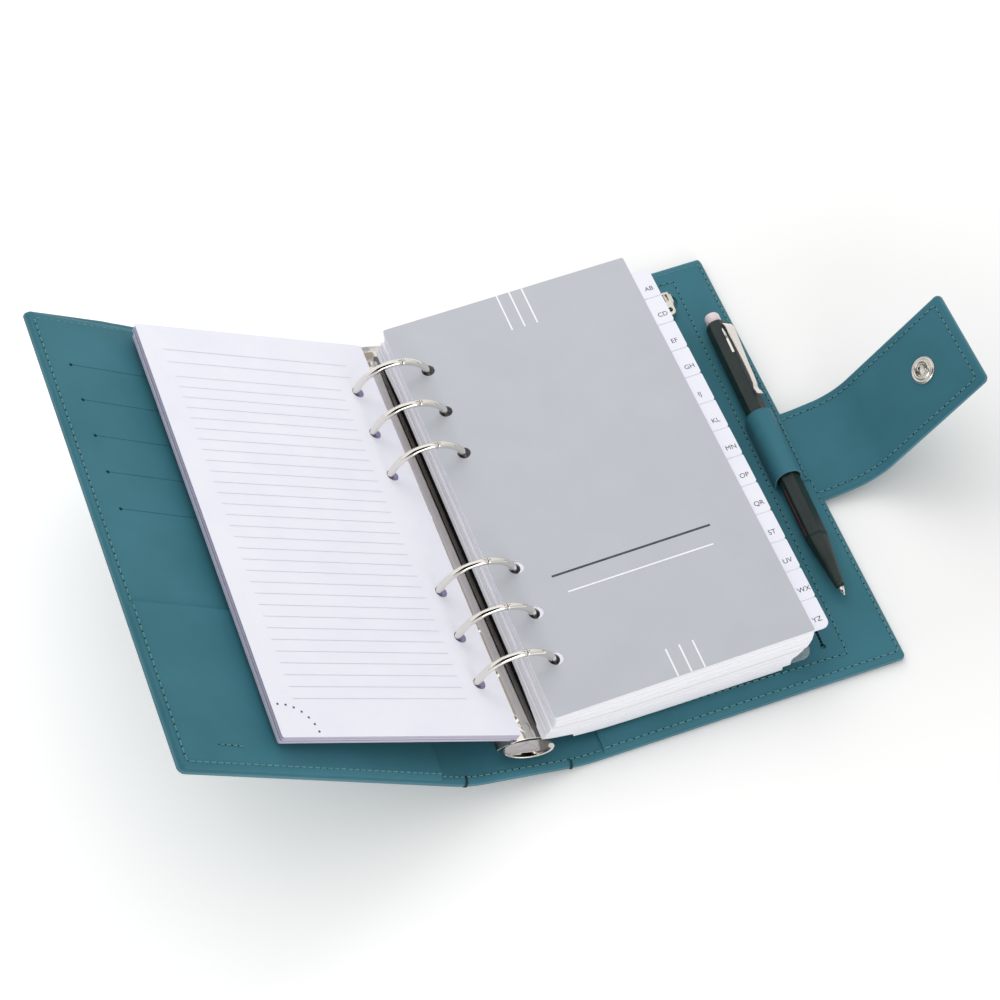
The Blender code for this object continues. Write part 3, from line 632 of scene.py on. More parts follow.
def easeRim(bm, outer, reach, drop):
    # the three sewn sides of a panel roll down towards the cover's own edge
    cuts = [share * reach for share in (0.15, 0.4, 0.7, 1)]
    cutAcross(bm, [outer - cut for cut in cuts])
    cutAcross(bm, [edgeHigh - cut for cut in cuts] + [edgeLow + cut for cut in cuts], 1)
    for vert in bm.verts:
        deep = outer - vert.co.x
        side = min(edgeHigh - vert.co.y, vert.co.y - edgeLow)
        if deep < rim and side < rim:
            deep = side = rim - hypot(rim - deep, rim - side)
        near = max(0, min(deep, side))
        if near < reach:
            vert.co.z -= drop * (1 - near / reach) ** 2
    pressed(bm, outer + panel["inset"])


outer = cover["frontWidth"] - panel["inset"]
holes = []
for number in range(slits["count"]):
    y = slits["top"] - number * slits["pitch"]
    x = cover["frontWidth"] - slits["inset"]
    shape = keyhole(0, slits["length"], slits["half"], slits["hole"], slits["half"] * 1.05)
    holes.append([(x - b, y + a) for a, b in shape])
bm = slab(
    [roundedBox(panel["frontFold"], outer, edgeLow, edgeHigh, (0.6, rim, rim, 0.6)), *holes],
    panel["low"],
    panel["high"],
    panel["rounding"],
    2,
)
easeRim(bm, outer, 2.0, 0.75)
hides = ("front_card_panel",)
addPiece(mirrored(bm), "frontCardPanel", frontRun, [tealPanel], "front_cover", hides)
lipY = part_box("front_low_pocket")[1].y / mm
# dark strips seen through the card slits and under the low pocket's lip: painted shade
bm = bmesh.new()
for number in range(slits["count"]):
    y = slits["top"] - number * slits["pitch"]
    x = slits["inset"] - cover["frontWidth"]
    strip(bm, x - 1.2, x + slits["length"] + 1, y - 1.0, y + 1.0, panel["low"] + 0.03)
strip(bm, -outer + 3.2, -panel["frontFold"] - 0.4, lipY - 2, lipY + 0.3, panel["high"] + 0.02)
addPiece(bm, "pocketShade", frontRun, [hollowDark], "front_cover", (), None, True)
bm = slab(
    [roundedBox(panel["frontFold"] + 0.3, outer, edgeLow, lipY, (0.6, rim, 0.3, 0.3))],
    panel["high"] + 0.02,
    panel["high"] + 0.62,
    0.22,
)
cutAcross(bm, [lipY - below for below in (1, 3, 6, 12)], 1)
easeRim(bm, outer, 2.0, 0.85)
for vert in bm.verts:
    vert.co.z += 0.35 * exp((vert.co.y - lipY) / 4)
hides = ("front_low_pocket",)
addPiece(mirrored(bm), "frontLowPocket", frontRun, [tealPanel], "front_cover", hides)


def alongZip(p):
    # the pocket is sewn in at a slight turn; places start from the zip's upper end
    across = p[0] * cos(zipper["turn"]) + p[1] * sin(zipper["turn"])
    along = p[1] * cos(zipper["turn"]) - p[0] * sin(zipper["turn"])
    return (zipper["x"] + across, zipper["top"] + along, *p[2:])


outer = cover["backWidth"] - panel["inset"]
zipHole = keyhole(-zipper["length"], 0, zipper["half"], zipper["stop"], zipper["opening"])
backOutline = roundedBox(panel["backFold"], outer, edgeLow, edgeHigh, (0.6, rim, rim, 0.6))
bm = slab([backOutline, [alongZip(p) for p in zipHole]], panel["low"], panel["high"], panel["rounding"], 2)
easeRim(bm, outer, 2.0, 0.75)
addPiece(bm, "backZipPanel", backRun, [tealPanel], "back_cover", ("back_zip_panel",))
print("covers ready")

# Stitching round the covers and the zipped pocket
inset = cover["stitchInset"]
headY = head - cover["headInset"]
frontHeadY = headY - cover["bowInset"]
tailY = tail + inset
foldLevel = cover["high"] - cover["seamSink"]
rows = [([(-spineHalf, y), (7.8, y)], foldLevel, edgeStitch) for y in (tailY, headY)]
sewPiece("backFoldStitches", rows, backRun, ("spine", "back_cover"), backBlend)
rows = [([(-12.8, y), (spineHalf, y)], foldLevel, edgeStitch) for y in (tailY, frontHeadY)]
sewPiece("frontFoldStitches", rows, frontRun, ("front_cover", "spine"), frontBlend)


def cornerTurn(x, y):
    # short round from a fore edge at x to the head at y
    return [(x - 1.2 + 1.2 * sin(k * pi / 8), y - 1.2 + 1.2 * cos(k * pi / 8)) for k in range(5)]


foreX = cover["backWidth"] - inset
sewnLevel = panel["high"] - 0.22
lowTurn = [(x, -y) for x, y in cornerTurn(foreX, -tailY)[::-1]]
edge = [(8.6, headY), *cornerTurn(foreX, headY), *lowTurn, (8.6, tailY)]
pocket = [(8.9, 87.9), (105.9, 85.4), (100.9, -84.6), (8.9, -82.1)]
rows = [(edge, sewnLevel, edgeStitch), (pocket, panel["high"], edgeStitch)]
sewPiece("backStitches", rows, backRun, "back_cover")
foreX = cover["frontWidth"] - 1.7
highTurn = [(-x, y) for x, y in cornerTurn(foreX, frontHeadY)]
lowTurn = [(-x, -y) for x, y in cornerTurn(foreX, -tailY)[::-1]]
upper = [(-13.6, frontHeadY), *highTurn, (-foreX, lipY + 0.5)]
lower = [(-foreX, lipY - 0.8), *lowTurn, (-13.6, tailY)]
short = [(-101.8, -83.1), (-92.1, -83.4)]
tack = {**edgeStitch, "pitch": 2.2, "length": 1.4}
rows = [(upper, sewnLevel - 0.08, edgeStitch), (lower, sewnLevel + 0.54, edgeStitch)]
rows += [(short, panel["high"] + 0.62, tack)]
sewPiece("frontStitches", rows, frontRun, "front_cover")


# Bar tacks: dark thread wrapped over the head and tail beside each fold
def barTack(bm, x, side):
    far = head if side > 0 else -tail
    wrap = [(-2.6, 2.7), (-1.4, 2.5), (-0.4, 2.1), (0.12, 1.4)]
    wrap += [(0.2, 0.8), (0.05, 0.2), (-0.5, -0.45), (-2, -0.62)]
    for shift in (-0.35, 0.15):
        sweep(bm, [(x + shift, side * (far + out), z) for out, z in wrap], 0.26, 6)


for name, x, run, body, blend in (
    ("backBarTacks", -4.4, backRun, ("spine", "back_cover"), backBlend),
    ("frontBarTacks", -1.95, frontRun, ("front_cover", "spine"), frontBlend),
):
    bm = bmesh.new()
    for side in (-1, 1):
        barTack(bm, x, side)
    addPiece(bm, name, run, [threadDark], body, (), blend, True)
print("stitching ready")

# Zip coils, slider and pull
bm = bmesh.new()
for number in range(int(zipper["length"] / zipper["tooth"])):
    y = -0.8 - number * zipper["tooth"]
    for side in (-1, 1):
        path = [alongZip((side * 0.05, y, 3.02)), alongZip((side * 0.62, y, 3.08))]
        sweep(bm, path, 0.42, 6, 0.6)
addPiece(bm, "zipCoils", backRun, [tapeDark], "back_cover", (), None, True)
zipTurn = Matrix.Rotation(-zipper["turn"], 4, "Z")
sliderLow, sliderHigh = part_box("zip_slider")
sliderMid = (sliderLow + sliderHigh) / 2
sliderPlace = Matrix.Translation((sliderMid.x, sliderMid.y, sliderHigh.z)) @ zipTurn
outline = [(-1.6, -4), (1.6, -4), (3.1, -0.5), (3.1, 2.6), (1.8, 4), (-1.8, 4), (-3.1, 2.6), (-3.1, -0.5)]
bm = slab([outline], -1.05, 0, 0.35)
sweep(bm, [(0, 2.9, -0.1), (0, 2.6, 0.55), (0, 1.4, 0.8), (0, -0.6, 0.8), (0, -1.6, 0.1)], 0.5, 8)
sweep(bm, [(0, 3, -1), (0, -3, -1)], 0.5, 8)
addPiece(bm, "zipSlider", rigid(sliderPlace), [nickelSoft], "zip_slider", ("zip_slider",))
bm = slab(
    [
        roundedBox(-2, 2, -10.4, 0.4, (1.9, 1.9, 0.6, 0.6)),
        circle(0, -8, 1.0),
        roundedBox(-1.1, 1.1, -3.8, -0.6, (0.4, 0.4, 0.4, 0.4)),
    ],
    -0.38,
    0.38,
    0.2,
)
pullPlace = Matrix.Translation(axisOf["zip_pull_swing"]) @ zipTurn
addPiece(bm, "zipPull", rigid(pullPlace), [nickelSoft], "zip_pull", ("zip_pull",))
print("zip ready")

# Ring mechanism: arched housing, six split rings, levers and rivets
ring = {
    "radius": 14.0, "wire": 1.3, "places": [25.4, 44.45, 63.5], "end": radians(-60.2),
    "seam": 0.005,
}
arch = {
    "radius": 13.7, "centre": -22.45, "base": -13.62, "halfWidth": 10.45, "halfLength": 83.0,
    "wall": 0.6,
}
archReach = atan2(arch["halfWidth"], arch["base"] - arch["centre"])
skin = []
for radius, way in ((arch["radius"], 1), (arch["radius"] - arch["wall"], -1)):
    for k in range(49):
        angle = way * archReach * (1 - k / 24)
        skin.append((radius * sin(angle), arch["centre"] + radius * cos(angle)))
bm = slab([skin], -arch["halfLength"], arch["halfLength"], 0.24)
cutAcross(bm, [-40, 0, 40], 2)
addPiece(
    bm,
    "ringHousing",
    lambda p: ringPlace @ (Vector((p[0], p[2], p[1])) * mm),
    [nickelBright],
    "spine",
    ("ring_housing",),
)
ringYs = [side * y for y in ring["places"] for side in (1, -1)]
for label, side in (("left", -1), ("right", 1)):
    bm = bmesh.new()
    for y in ringYs:
        path = []
        for share in [0, 0.006] + [step / 32 for step in range(1, 33)]:
            angle = pi / 2 - ring["seam"] + (ring["end"] - pi / 2 + ring["seam"]) * share
            path.append((side * ring["radius"] * cos(angle), y, ring["radius"] * sin(angle)))
        radii = [ring["wire"] * (0.95 if step == 0 else 1) for step in range(34)]
        sweep(bm, path, radii, 16, 1.0, 0, (0, 1, 0))
        if side > 0:
            # dark joint where the two halves meet
            sweep(bm, [(-0.06, y, ring["radius"]), (0.06, y, ring["radius"])], 1.2, 16, 1.0, 1)
    nodes = [f"{label}_ring_{number}" for number in range(1, 7)]
    looks = [nickelBright, hollowDark]
    body = label + "_rings"
    addPiece(bm, label + "RingWires", rigid(ringPlace), looks, body, nodes, None, True)
spoon = {
    "x": -0.9, "y": 2.9, "long": 9.6, "wide": 4.0,
    "levels": [(0, -0.25), (0.3, -0.2), (0.55, 0.0), (0.75, 0.3), (0.88, 0.62), (0.96, 0.78)],
}
spoon["levels"] += [(1, 0.62), (0.97, 0.3), (0.8, -0.3), (0, -0.9)]
for label, side in (("top", 1), ("bottom", -1)):
    bm = bmesh.new()
    rivet = [(0, -8.52), (1.2, -8.56), (1.9, -8.68), (2.3, -8.9), (2.35, -9.3), (0, -9.3)]
    turned(bm, rivet, (0, side * (arch["halfLength"] - 4.5)), 24)
    hides = ("housing_rivet_" + label,)
    name = "rivet" + label.title()
    addPiece(bm, name, rigid(ringPlace), [nickelBright], "spine", hides, None, True)
    tilt = Matrix.Rotation(side * radians(15), 4, "X")
    axis = axisOf["lever_" + label + "_turn"]
    leverPlace = placeAt(axis, spineLean) @ tilt
    if side > 0:
        # plate that widens to a turned-up lip
        plate = [(-6.2, -0.7), (5.2, -0.7), (7.2, 5.6), (6.6, 6.3), (-7.6, 6.3), (-8.2, 5.6)]
        bm = slab([plate], -0.4, 0.4, 0.22)
        cutAcross(bm, [-6, -3, 0, 3, 6])
        cutAcross(bm, [2, 4, 4.8, 5.4, 5.9], 1)
        for vert in bm.verts:
            x, y, z = vert.co
            bow = 0.7 * (1 - (x / 8.2) ** 2)
            vert.co.z = z + bow + 1.1 * max(0, (y - 4.4) / 1.9) ** 2 - 0.3
    else:
        # oval spoon with a raised rim
        bm = bmesh.new()
        ovals = []
        for scale, height in spoon["levels"]:
            if scale == 0:
                ovals.append([bm.verts.new((spoon["x"], spoon["y"], height))])
                continue
            oval = []
            for k in range(48):
                x = spoon["long"] * scale * cos(tau * k / 48) + spoon["x"]
                y = spoon["wide"] * scale * sin(tau * k / 48) + spoon["y"]
                oval.append(bm.verts.new((x, y, height + 0.5)))
            ovals.append(oval)
        for a, b in zip(ovals, ovals[1:]):
            joinRings(bm, a, b)
        for vert in bm.verts:
            vert.co.y *= -1
    hides = ("lever_" + label,)
    name = "lever" + label.title()
    addPiece(bm, name, rigid(leverPlace), [nickelBright], "lever_" + label, hides)
print("rings ready")

# Pages: stacks of leaves on both sides of the rings, punched where each ring passes
tall = 85.5
stack = {
    "top": 3.6, "low": -16.8, "skew": 0.0117, "pivotX": 50, "pivotY": -60, "leftSkew": 0.0075,
    "leftShift": 0.9, "rightHole": 13.7, "leastSpan": 60, "openHole": 4.2, "seenHole": 2.35,
    "padHole": 1.55,
}
spread = ((2.0, 13.4), (6, 14.4), (13.7, 17.0), (22, 18.7), (31, 19.7))
spread += ((42, 20.2), (53, 20.4), (120, 20.4))


def spreadAt(x):
    for (x0, s0), (x1, s1) in zip(spread, spread[1:]):
        if x <= x1:
            return s0 + (s1 - s0) * min(max((x - x0) / (x1 - x0), 0), 1)
    return spread[-1][1]


def depthOf(level):
    return (stack["top"] - level) / (stack["top"] - stack["low"])


def leanAt(level):
    # the upper leaves lie a little further round on the rings than the lower ones
    return stack["skew"] * (1 - 0.85 * min(max(depthOf(level), 0), 1))


def rightMap(p):
    # leaves spread from the squeezed edge at the rings towards the fore edge
    level = stack["top"] - depthOf(p[2]) * spreadAt(p[0])
    span = ring["radius"] ** 2 - min(level, 0) ** 2
    slide = sqrt(max(span, stack["leastSpan"])) - ring["radius"]
    x = p[0] + slide - (p[1] - stack["pivotY"]) * leanAt(p[2])
    y = p[1] + (p[0] - stack["pivotX"]) * leanAt(p[2])
    return rightPlace @ (Vector((x, y, level)) * mm)


def rightHole(level, y):
    lean = leanAt(level)
    x = stack["rightHole"] + (y - stack["pivotY"]) * lean
    return x, y + (stack["pivotX"] - ring["radius"]) * lean


def leftMap(p):
    return leftPlace @ (Vector((p[0] + stack["leftSkew"] * p[1], p[1], p[2])) * mm)


def leftHole(level, y):
    x = stack["leftShift"] - sqrt(ring["radius"] ** 2 - level**2)
    return x - stack["leftSkew"] * y, y


def leaves(
    name, outline, low, high, layers, mapping, looks, hides, holeRadius=stack["openHole"], drift=0.15
):
    # a block of thin plates that drift a little, with the cut edge in the second material
    side = "left_pages" if mapping == leftMap else "right_pages"
    holeAt = leftHole if mapping == leftMap else rightHole
    bm = bmesh.new()
    for number in range(layers):
        z0 = low + (high - low) * number / layers
        z1 = low + (high - low) * (number + 1) / layers - 0.02
        shift = drift * sin(number * 2.4 + low)
        moved = [(x + shift, y + 0.5 * shift) for x, y in outline]
        holes = []
        for y in ringYs:
            # only the top leaf's holes are seen, and those under it leave the rings room to open
            x, across = holeAt((z0 + z1) / 2, y - pageShift)
            radius = holeRadius if number == layers - 1 else stack["openHole"]
            if name == "dividerCard":
                x += 0.25 if y > 0 else 1.0
                radius += 0.05 if y > 0 else 0.35
            elif name == "indexCards" and y > 0:
                radius = stack["openHole"]
            elif name == "memoPad":
                x -= 0.9
            holes.append(circle(x, across, radius, 20))
        layer = slab([moved, *holes], z0, z1, 0.03, 1)
        cutAcross(layer, [6, 10, 20, 26, 31, 42, 53] if side == "right_pages" else [-50])
        markRims(layer, 1)
        joinInto(bm, layer)
    for face in bm.faces:
        face.smooth = False
    heights = [vert.co.z for vert in bm.verts]
    piece = addPiece(bm, name, mapping, looks, side, hides, None, True)
    attribute = piece.data.attributes.new("leafHeight", "FLOAT", "POINT")
    attribute.data.foreach_set("value", heights)


leftNear = -3.0
leftFar = -97.5
square = (0.8, 0.8, 0.8, 0.8)
memoOutline = roundedBox(leftFar, leftNear, -tall, tall, square, 4)
fillerOutline = roundedBox(leftFar + 1.2, leftNear - 0.8, 1 - tall, tall - 1, square, 4)
plain = [paperWhite, paperLeaf]
lilac = [paperWhite, lilacLeaf]
padOutline = [(x + 0.5 * (x < -50), y) for x, y in memoOutline]
tinted = [lilacSheet, lilacLeaf]
openHole, seenHole, padHole = stack["openHole"], stack["seenHole"], stack["padHole"]
leaves("memoSheet", memoOutline, -4.45, -4.2, 1, leftMap, lilac, ("memo_sheet",), seenHole, 0)
leaves("memoPad", padOutline, -7.05, -4.5, 4, leftMap, tinted, ("memo_pad",), padHole)
leaves("fillerPad", fillerOutline, -9.2, -7.1, 4, leftMap, lilac, ("filler_pad",), openHole, 0.2)

# Print on the memo sheet: heading rules, ruled lines and a dotted tear-off corner
bm = bmesh.new()
inkLevel = -4.17
strip(bm, leftFar + 8, leftNear - 10.5, 74.5, 74.68, inkLevel)
strip(bm, leftFar + 8, leftNear - 10.5, 68.9, 69.06, inkLevel)
for number in range(30):
    y = 62.5 - number * 4.6
    strip(bm, leftFar + 9, leftNear - 17, y - 0.08, y + 0.08, inkLevel)
for number in range(7):
    angle = pi / 2 - number * pi / 13
    spot = (leftFar + 2.5 + 12 * cos(angle), -tall + 0.6 + 12 * sin(angle))
    disc(bm, spot, 0.42, 12, inkLevel)
addPiece(bm, "memoPrint", leftMap, [rulerInk, darkInk], "left_pages", (), None, True)


def cornered(near, far, longer):
    # leaves whose tail corner reaches further out than the rest of the fore edge
    step = -tall + 5
    tip = [(near, -tall), (longer, -tall), (longer - 0.4, step - 1.5)]
    return tip + [(far, step + 1), (far, tall), (near, tall)]


notes = cornered(19.5, 76.8, 96.5)
diary = cornered(5.2, 89.8, 99.5)
leaves("notesBlock", notes, stack["low"], -14.85, 3, rightMap, plain, ("notes_block",))
leaves("diaryBlock", diary, -14.7, -6.78, 9, rightMap, plain, ("diary_block",))
wallet = roundedBox(6.2, 102.2, 1 - tall, tall - 1, (1, 5, 5, 1), 8)
clear = [clearSheet, clearSheet]
hides = ("plastic_wallet",)
leaves("clearWallet", wallet, -6.75, -6.68, 1, rightMap, clear, hides, openHole, 0)
lower = roundedBox(60, 108.6, 0.4 - tall, -72, (1, 4.5, 9, 1), 10)
bm = slab([lower], -14.82, -14.72, 0.03, 1)
cutAcross(bm, [94, 97, 100, 103, 106])
for vert in bm.verts:
    vert.co.z -= 0.3 * max(0, (vert.co.x - 94) / 8) ** 2
addPiece(bm, "walletCorner", rightMap, [clearSheet], "right_pages")
# black strip along the ring side of the lower leaves: painted shade of the deep gap between the housing
# and the stack
bm = bmesh.new()
rows = []
for number in range(41):
    y = 4 * number - 80
    climb = 1.7 * sqrt(max(0.02, min(1, (82 - abs(y)) / 24)))
    rows.append([bm.verts.new((4.96, y, level)) for level in (-14.65, climb - 14.65)])
for a, b in zip(rows, rows[1:]):
    bm.faces.new((a[0], b[0], b[1], a[1]))
addPiece(bm, "gapShadeStrip", rightMap, [gapShadeBlack], "right_pages", (), None, True)
wide = roundedBox(6.0, 100.6, -tall, tall, square, 4)
leaves("yellowLeaves", wide, -6.65, -6.32, 1, rightMap, [paperWhite, yellowLeaf], ())
leaves("indexCards", wide, -6.3, 2.85, 9, rightMap, plain, ("index_cards",), seenHole)
cardOutline = roundedBox(6.0, 100.5, -tall, tall, square, 4)
board = [greyCard, paperLeaf]
hides = ("divider_card",)
leaves("dividerCard", cardOutline, 2.98, 3.58, 1, rightMap, board, hides, seenHole, 0)

# Index tabs with plain letters
tabs = {
    "count": 13, "top": 78.2, "pitch": 12.42, "reach": 107.6, "thick": 0.2, "drop": 0.26,
    "level": 2.5, "letter": 2.7,
}
letters = "ABCDEFGHIJKLMNOPQRSTUVWXYZ"
bm = bmesh.new()
ink = bmesh.new()
for number in range(tabs["count"]):
    high = tabs["top"] - number * tabs["pitch"]
    low = high - tabs["pitch"] - 0.5
    level = tabs["level"] - number * tabs["drop"]
    last = 2.8 if number == tabs["count"] - 1 else 1.2
    outline = roundedBox(92, tabs["reach"], low, high, (0, last, 1.2, 0), 5)
    joinInto(bm, slab([outline], level - tabs["thick"], level, 0.06, 1))
    words = bpy.data.curves.new("letters", "FONT")
    words.body = letters[2 * number : 2 * number + 2]
    words.size = tabs["letter"]
    words.align_y = "CENTER"
    mesh = meshOf(words)
    mesh.transform(Matrix.Translation((102.6, high - 0.72 * tabs["pitch"], level + 0.03)))
    ink.from_mesh(mesh)
    bpy.data.meshes.remove(mesh)
addPiece(bm, "indexTabs", rightMap, [paperWhite], "right_pages")
addPiece(ink, "tabLetters", rightMap, [darkInk], "right_pages", (), None, True)

# Print on the divider: three short lines at head and tail and two long rules
bm = bmesh.new()
inkLevel = 3.61
for x in (50.3, 55.2, 60.1):
    strip(bm, x - 0.3, x + 0.3, 68.8, tall - 0.1, inkLevel)
    strip(bm, x - 0.3, x + 0.3, -tall + 0.1, -74.2, inkLevel)
strip(bm, 25, 84, -34.4, -33.6, inkLevel, 1)
strip(bm, 28, 82, -41.9, -41.3, inkLevel)
addPiece(bm, "dividerPrint", rightMap, [whiteInk, darkInk], "right_pages", (), None, True)
print("pages ready")

# Pen in its loop, both at a slight turn to the cover
pen = {
    "turn": radians(1.5), "radius": 4.1, "low": -39.9, "top": 58.6, "nose": -61.5, "tip": -65.1,
    "ridge": radians(80), "facet": radians(170),
}
barrelLow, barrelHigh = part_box("pen_barrel")
middle = (barrelLow + barrelHigh) / 2
penX = middle.x - middle.y * sin(pen["turn"]) / cos(pen["turn"])
penPlace = Matrix.Translation((penX, 0, middle.z)) @ Matrix.Rotation(-pen["turn"], 4, "Z")


def alongY(p):
    return penPlace @ (Vector((p[0], p[2], -p[1])) * mm)


def hexAt(angle, radius, share):
    # six-sided outline that eases into a circle as share goes to one
    turn = (angle + pen["ridge"]) % (pi / 3) - pi / 6
    return radius * ((1 - share) * cos(pi / 6) / cos(turn) + share * 0.93)


def lofted(bm, levels, sides=96):
    rings = []
    for height, radius, share in levels:
        around = []
        for k in range(sides):
            angle = tau * k / sides
            out = hexAt(angle, radius, share)
            around.append(bm.verts.new((out * cos(angle), out * sin(angle), height)))
        rings.append(around)
    for a, b in zip(rings, rings[1:]):
        joinRings(bm, a, b)
    bm.faces.new(rings[0][::-1])
    bm.faces.new(rings[-1])


bm = bmesh.new()
low, top = pen["low"], pen["top"]
wide = pen["radius"]
barrel = [(low, wide - 0.02, 0), (low + 0.4, wide, 0), (top - 1.2, wide, 0)]
lofted(bm, barrel + [(top - 0.3, 3.9, 0.3), (top, 3.5, 0.8)])
addPiece(bm, "penBarrel", alongY, [penGreen], "pen", ("pen_barrel",))
bm = bmesh.new()
nose = [(low - 0.04, wide - 0.02, 0)]
for k in range(1, 17):
    share = k / 16
    along = low - 0.04 - share * (low - pen["nose"] - 0.04)
    nose.append((along, wide - 0.02 - 2.4 * share**1.15, min(1, share * 1.7)))
lofted(bm, nose[::-1])
addPiece(bm, "penNose", alongY, [penGreen], "pen", ("pen_nose",))
bm = bmesh.new()
end, start = pen["tip"], pen["nose"]
tip = [(0, end), (0.35, end + 0.05), (0.45, end + 0.3), (0.5, end + 0.9), (0.7, end + 1.0)]
tip += [(1.4, start - 0.1), (0, start - 0.1)]
turned(bm, tip, (0, 0), 24)
addPiece(bm, "penTip", alongY, [nickelBright], "pen", ("pen_tip",), None, True)
bm = bmesh.new()
cap = top + 4.6
push = [(0, cap), (1.6, cap - 0.02), (2.4, cap - 0.3), (2.85, cap - 1), (2.9, cap - 2)]
turned(bm, push + [(2.9, cap - 11), (0, cap - 11)])
addPiece(bm, "penButton", alongY, [penPink], "pen_button", ("pen_button",), None, True)
# red line let into the left facet
bm = bmesh.new()
facet = pen["facet"]
facetReach = pen["radius"] * cos(pi / 6) + 0.04
corners = []
for y, shift in ((-38.6, -0.35), (-38.6, 0.25), (-18.4, 0.25), (-18.4, -0.35)):
    x = facetReach * cos(facet) - shift * sin(facet)
    z = facetReach * sin(facet) + shift * cos(facet)
    corners.append(bm.verts.new((x, -z, y)))
bm.faces.new(corners)
addPiece(bm, "penLine", alongY, [penRed], "pen", (), None, True)
# flat tapered clip with a hooked foot, and the spring tongue beside its head
clipPlace = penPlace @ Matrix.Rotation(radians(32), 4, "Y")
outline = [(-1.5, 21.6), (1.7, 21.6), (1.5, 23.4), (1.0, 25.5), (1.15, 36), (2.0, 50)]
outline += [(2.2, 55.4), (1.9, 55.9), (-1.9, 55.9), (-2.2, 55.4), (-2.0, 50)]
outline += [(-1.15, 36), (-1.0, 25.5), (-1.3, 23.4)]
bm = slab([outline], -0.3, 0.3, 0.18)
cutAcross(bm, [22.3, 23.2, 24.2, 25.2, 26.5, 30, 35, 40, 45, 50, 52, 53.5, 54.6, 55.3], 1)
for vert in bm.verts:
    x, y, z = vert.co
    lift = 5.1 - 0.75 * exp(-(((y - 24.6) / 1.6) ** 2)) - 1.0 * max(0, (y - 53) / 2.9) ** 2
    vert.co = (x + (y - 23) / 32, y, z + lift)
addPiece(bm, "penClip", rigid(clipPlace), [clipSteel], "pen", ("pen_clip",))
bm = slab([roundedBox(0.1, 1.1, 42.2, 52.4, (0.3, 0.3, 0.3, 0.3))], 3.75, 4.15, 0.15)
sweep(bm, [(0.5, 53.4, 4.1), (0.3, 51.2, 4.6), (0.5, 49.0, 4.2)], 0.5, 8)
addPiece(bm, "clipSpring", rigid(penPlace), [nickelBright], "pen")
# loop: leather band over the barrel with a tail sewn down towards the fore edge
loop = {"inner": 4.42, "outer": 5.2, "tail": 8.4, "low": -13.9, "high": 14.9, "foot": -4.36}
inner, outer, foot = loop["inner"], loop["outer"], loop["foot"]
outline = [(loop["tail"], foot), (loop["tail"], foot + 0.75), (outer + 1.2, foot + 0.8)]
outline += [(outer + 0.3, foot + 1.5)]
outline += [(outer * cos(pi * k / 24), outer * sin(pi * k / 24)) for k in range(-1, 25)]
outline += [(-outer, foot), (-inner, foot)]
outline += [(-inner * cos(pi * k / 24), inner * sin(pi * k / 24)) for k in range(25)]
outline += [(inner, foot)]
bm = slab([outline], loop["low"], loop["high"], 0.16, 2)
for face in bm.faces:
    face.material_index = int(abs(face.normal.z) > 0.6)
bmesh.ops.reverse_faces(bm, faces=bm.faces)
addPiece(
    bm,
    "penLoop",
    lambda p: penPlace @ (Vector((p[0], p[2], p[1])) * mm),
    [tealLeather, tealEdgeAndHighlight],
    "back_cover",
    ("pen_loop",),
)
tailRow = [(7.3, loop["low"] + 1), (7.3, loop["high"] - 1)]
sewPiece("loopStitches", [(tailRow, foot + 0.78, edgeStitch)], rigid(penPlace), "back_cover")
print("pen ready")

# Strap with its snap
strap = {
    "root": 18.5, "mid": 27.5, "tip": 29.4, "half": 20.0, "thick": 1.2, "tuck": 5.0, "corner": 2.2,
    "sewn": 16.9, "snap": 9.8, "studInset": 6.2,
}
rootAxis = axisOf["strap_fold"]
middleY = rootAxis.y / mm
rootLift = -leanOf("strap_root")
midLift = -leanOf("strap_mid") - rootLift
strapEnd = strap["root"] + strap["mid"] + strap["tip"]
strapRun = bentRun(
    (-strap["tuck"], 0),
    [(0, 4, -rootLift), (strap["root"], 8.5, -midLift)],
    Matrix.Translation(rootAxis - Vector((strap["tuck"] * mm, 0, 0))),
)
corner = strap["corner"]
low, high = middleY - strap["half"], middleY + strap["half"]
outline = roundedBox(-strap["tuck"], strapEnd, low, high, (0, corner, corner, 0), 8)
sewnEnd = strapEnd - 3.2
sewnY = middleY - strap["sewn"]
path = [(-3, sewnY), (sewnEnd - 1, sewnY), (sewnEnd, sewnY + 1)]
path += [(x, 2 * middleY - y) for x, y in path[::-1]]
seams = bmesh.new()
sewRow(seams, path, strap["thick"], edgeStitch)
sewRow(seams, path, -strap["thick"] - 0.06, {**edgeStitch, "rise": -0.24, "sink": -0.1})
whole = slab([outline], -strap["thick"], strap["thick"], 1.05, 5)
cutAcross(whole, [-3, -1.5, 0, 1.5, 3, 4.5, 9, *range(10, 29), 32, 36, 40, 43, 46, 49, 52, 60])
markRims(whole, 1)
splits = [-strap["tuck"] - 1, 9.0, 32.0, strapEnd + 1]
for number, (name, body, ends) in enumerate(
    (
        ("strapRoot", ("back_cover", "strap_root"), (-4, 4)),
        ("strapMid", ("strap_root", "strap_mid"), (10, 27)),
        ("strapTip", ("strap_mid", "strap_tip"), (40, 52)),
    )
):
    for source, ending, looks, hides in (
        (whole, "Leather", [tealLeather, tealEdgeAndHighlight], (body[1],)), (seams, "Stitches", sewn, ())
    ):
        bm = source.copy()
        others = []
        for face in bm.faces:
            if not splits[number] < face.calc_center_median().x < splits[number + 1]:
                others.append(face)
        bmesh.ops.delete(bm, geom=others, context="FACES")
        foldEnds = tuple(strapRun((x, middleY, 0)) for x in ends)
        crisp = ending == "Stitches"
        addPiece(bm, name + ending, strapRun, looks, body, hides, foldEnds, crisp)
whole.free()
seams.free()
snapAlong = strap["root"] + strap["mid"] + strap["snap"]


def snapMap(p):
    return strapRun((snapAlong + p[0], middleY + p[1], p[2]))


